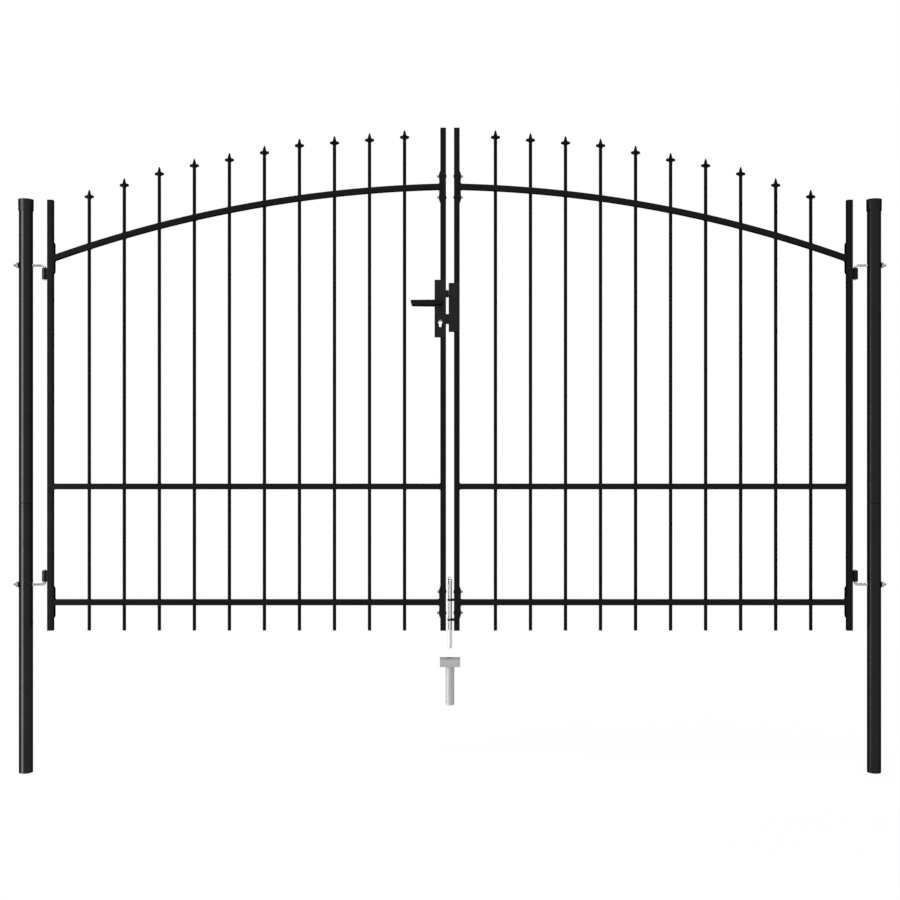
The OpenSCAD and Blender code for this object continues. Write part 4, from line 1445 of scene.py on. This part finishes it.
def socket_tube(low_z, head_z, radius, bore):
    """The tube below the head, with its weld given by steps from the tube and the head."""
    weld = [(radius + out * MM, head_z + up * MM) for out, up in SOCKET_WELD]
    outer_in, outer_up = SOCKET_OUTER_CHAMFER
    inner_out, inner_up = SOCKET_INNER_CHAMFER
    return turned([
        *weld, (radius, low_z + outer_up), (radius - outer_in, low_z), (bore + inner_out, low_z),
        (bore, low_z + inner_up), (bore, head_z + SOCKET_LAP),
    ], steps=64, closed=True)


def ground_socket():
    low, high = span("ground_socket")
    radius = SOCKET_TUBE_D / 2
    bore = radius - SOCKET_WALL
    head_z = high.z - SOCKET_HEAD_H
    bm = pierced_plate(rectangle(low.x, low.y, high.x, high.y), [circle(bore, 48)], SOCKET_HEAD_H)
    soften(bm, sharp_edges(bm), SOCKET_ROUND, 4)
    move(bm, at(0, 0, head_z) @ turn(90, "X"))
    stamp(bm, socket_tube(low.z, head_z, radius, bore))
    return move(bm, Matrix.Translation(TO_MIDDLE))


hand_in("socket", ground_socket(), "posts", GALVANISED, "ground_socket")

# %% [markdown]
# ## Floor and light
# The floor is plain and white, and so is the air behind it: rays that the camera, gloss or glass send
# past the gate meet plain white. The floor keeps a share of matt white near the gate, which takes its
# shadow. Gloss and the light of the lamps pass through it, because the posts are shown at full length
# and the lamp beside them reaches below their feet.

# %% White surroundings
WHITE = (1, 1, 1, 1)
FILL = 0.55


def seen_directly(tree):
    """1 for rays of the camera, of gloss and of glass, and 0 for light that bounces on."""
    rays = add_node(tree, "ShaderNodeLightPath").socket.node.outputs
    camera_ray, gloss_ray, glass_ray = (Wire(tree, rays[f"Is {kind} Ray"])
                                        for kind in ("Camera", "Glossy", "Transmission"))
    return camera_ray + gloss_ray + glass_ray


def white_world():
    world = bpy.data.worlds.new("white_studio")
    world.use_nodes = True
    tree = world.node_tree
    tree.nodes.clear()
    fill = add_node(tree, "ShaderNodeBackground", None, {"Color": WHITE, "Strength": FILL})
    white = add_node(tree, "ShaderNodeBackground", None, {"Color": WHITE, "Strength": 1.0})
    mixed = add_node(tree, "ShaderNodeMixShader", None, {0: seen_directly(tree), 1: fill, 2: white})
    add_node(tree, "ShaderNodeOutputWorld", None, {"Surface": mixed})
    return world


bpy.context.scene.world = white_world()
print("world:", bpy.context.scene.world.name)

# %% Floor finish
FLOOR_GLOW = 0.72
SHADOW_REACH = 2.6


def floor_finish():
    """White to the camera, with a share of matt floor near the gate that takes its shadow."""
    finish, tree, place = new_finish("white_floor")
    ring = {"Vector": place, "Location": TO_MIDDLE, "Scale": (SHADOW_REACH, SHADOW_REACH, 1)}
    centred = add_node(tree, "ShaderNodeMapping", {"vector_type": "TEXTURE"}, ring)
    fades = {"gradient_type": "QUADRATIC_SPHERE"}
    near = add_node(tree, "ShaderNodeTexGradient", fades, {"Vector": centred}, out=1)
    matt = add_node(tree, "ShaderNodeBsdfPrincipled", None, {
        "Base Color": blend_colour(tree, noise(tree, place, 3.0), [0.86] * 3, [0.88] * 3),
        "Roughness": 0.9,
        "Specular IOR Level": 0.0,
    })
    glow = add_node(tree, "ShaderNodeEmission", None, {"Color": WHITE, "Strength": 1.0})
    share = seen_directly(tree) * (1 - (1 - FLOOR_GLOW) * near)
    mixed = add_node(tree, "ShaderNodeMixShader", None, {0: share, 1: matt, 2: glow})
    add_node(tree, "ShaderNodeOutputMaterial", None, {"Surface": mixed})
    return finish


FLOOR_WHITE = floor_finish()
print(FLOOR_WHITE.name, len(FLOOR_WHITE.node_tree.nodes), "nodes")

# %% Floor
FLOOR_SIDE = 120.0
FLOOR_BELOW = 0.4 * MM


def lay_floor():
    bm = bmesh.new()
    bmesh.ops.create_grid(bm, x_segments=4, y_segments=4, size=FLOOR_SIDE / 2)
    move(bm, at(MID_X, 0, -FLOOR_BELOW))
    mesh = bpy.data.meshes.new("floor")
    bm.to_mesh(mesh)
    bm.free()
    mesh.materials.append(FLOOR_WHITE)
    floor = bpy.data.objects.new("floor", mesh)
    floor.visible_glossy = False
    floor.visible_shadow = False
    bpy.context.scene.collection.objects.link(floor)


lay_floor()
print("floor laid,", FLOOR_SIDE, "m wide")

# %% [markdown]
# A tall soft lamp stands close on the left, which draws the bright line on the posts, and wide ones hang
# over the front and the back for the rest. The tall lamp is so near to the hook bolts and nuts of the
# left post that they would burn out, so light linking lets it pass by them.

# %% Lamps
def soft_lamp(name, place, aim, size, power):
    """A soft rectangular lamp; power is in watts."""
    light = bpy.data.lights.new(name, "AREA")
    light.shape = "RECTANGLE"
    light.size, light.size_y = size
    light.energy = power
    lamp = bpy.data.objects.new(name, light)
    lamp.location = place
    lamp.rotation_euler = (Vector(aim) - Vector(place)).to_track_quat("-Z", "Y").to_euler()
    lamp.visible_camera = False
    bpy.context.scene.collection.objects.link(lamp)
    return lamp


def keep_off(lamp, names):
    """The lamp passes by the named pieces."""
    spared = bpy.data.collections.new("spared_by_" + lamp.name)
    for name in names:
        spared.objects.link(bpy.data.objects[name])
    for entry in spared.collection_objects:
        entry.light_linking.link_state = "EXCLUDE"
    lamp.light_linking.receiver_collection = spared


strip = soft_lamp("left_strip", place=(-0.87, -0.84, 0.9), aim=(-0.55, 0.08, 0.9), size=(0.75, 3.4),
                  power=91.5)
keep_off(strip, ("left_upper_hook", "left_lower_hook", "left_hook_nuts"))
soft_lamp("front_sky", place=(MID_X - 0.6, -3.0, 6.2), aim=(MID_X, 0.0, 1.0), size=(4.5, 2.2), power=220.0)
soft_lamp("back_sky", place=(MID_X + 0.8, 3.8, 4.2), aim=(MID_X, 0.0, 1.1), size=(4.0, 2.0), power=90.0)
bpy.context.scene.view_settings.view_transform = "Standard"
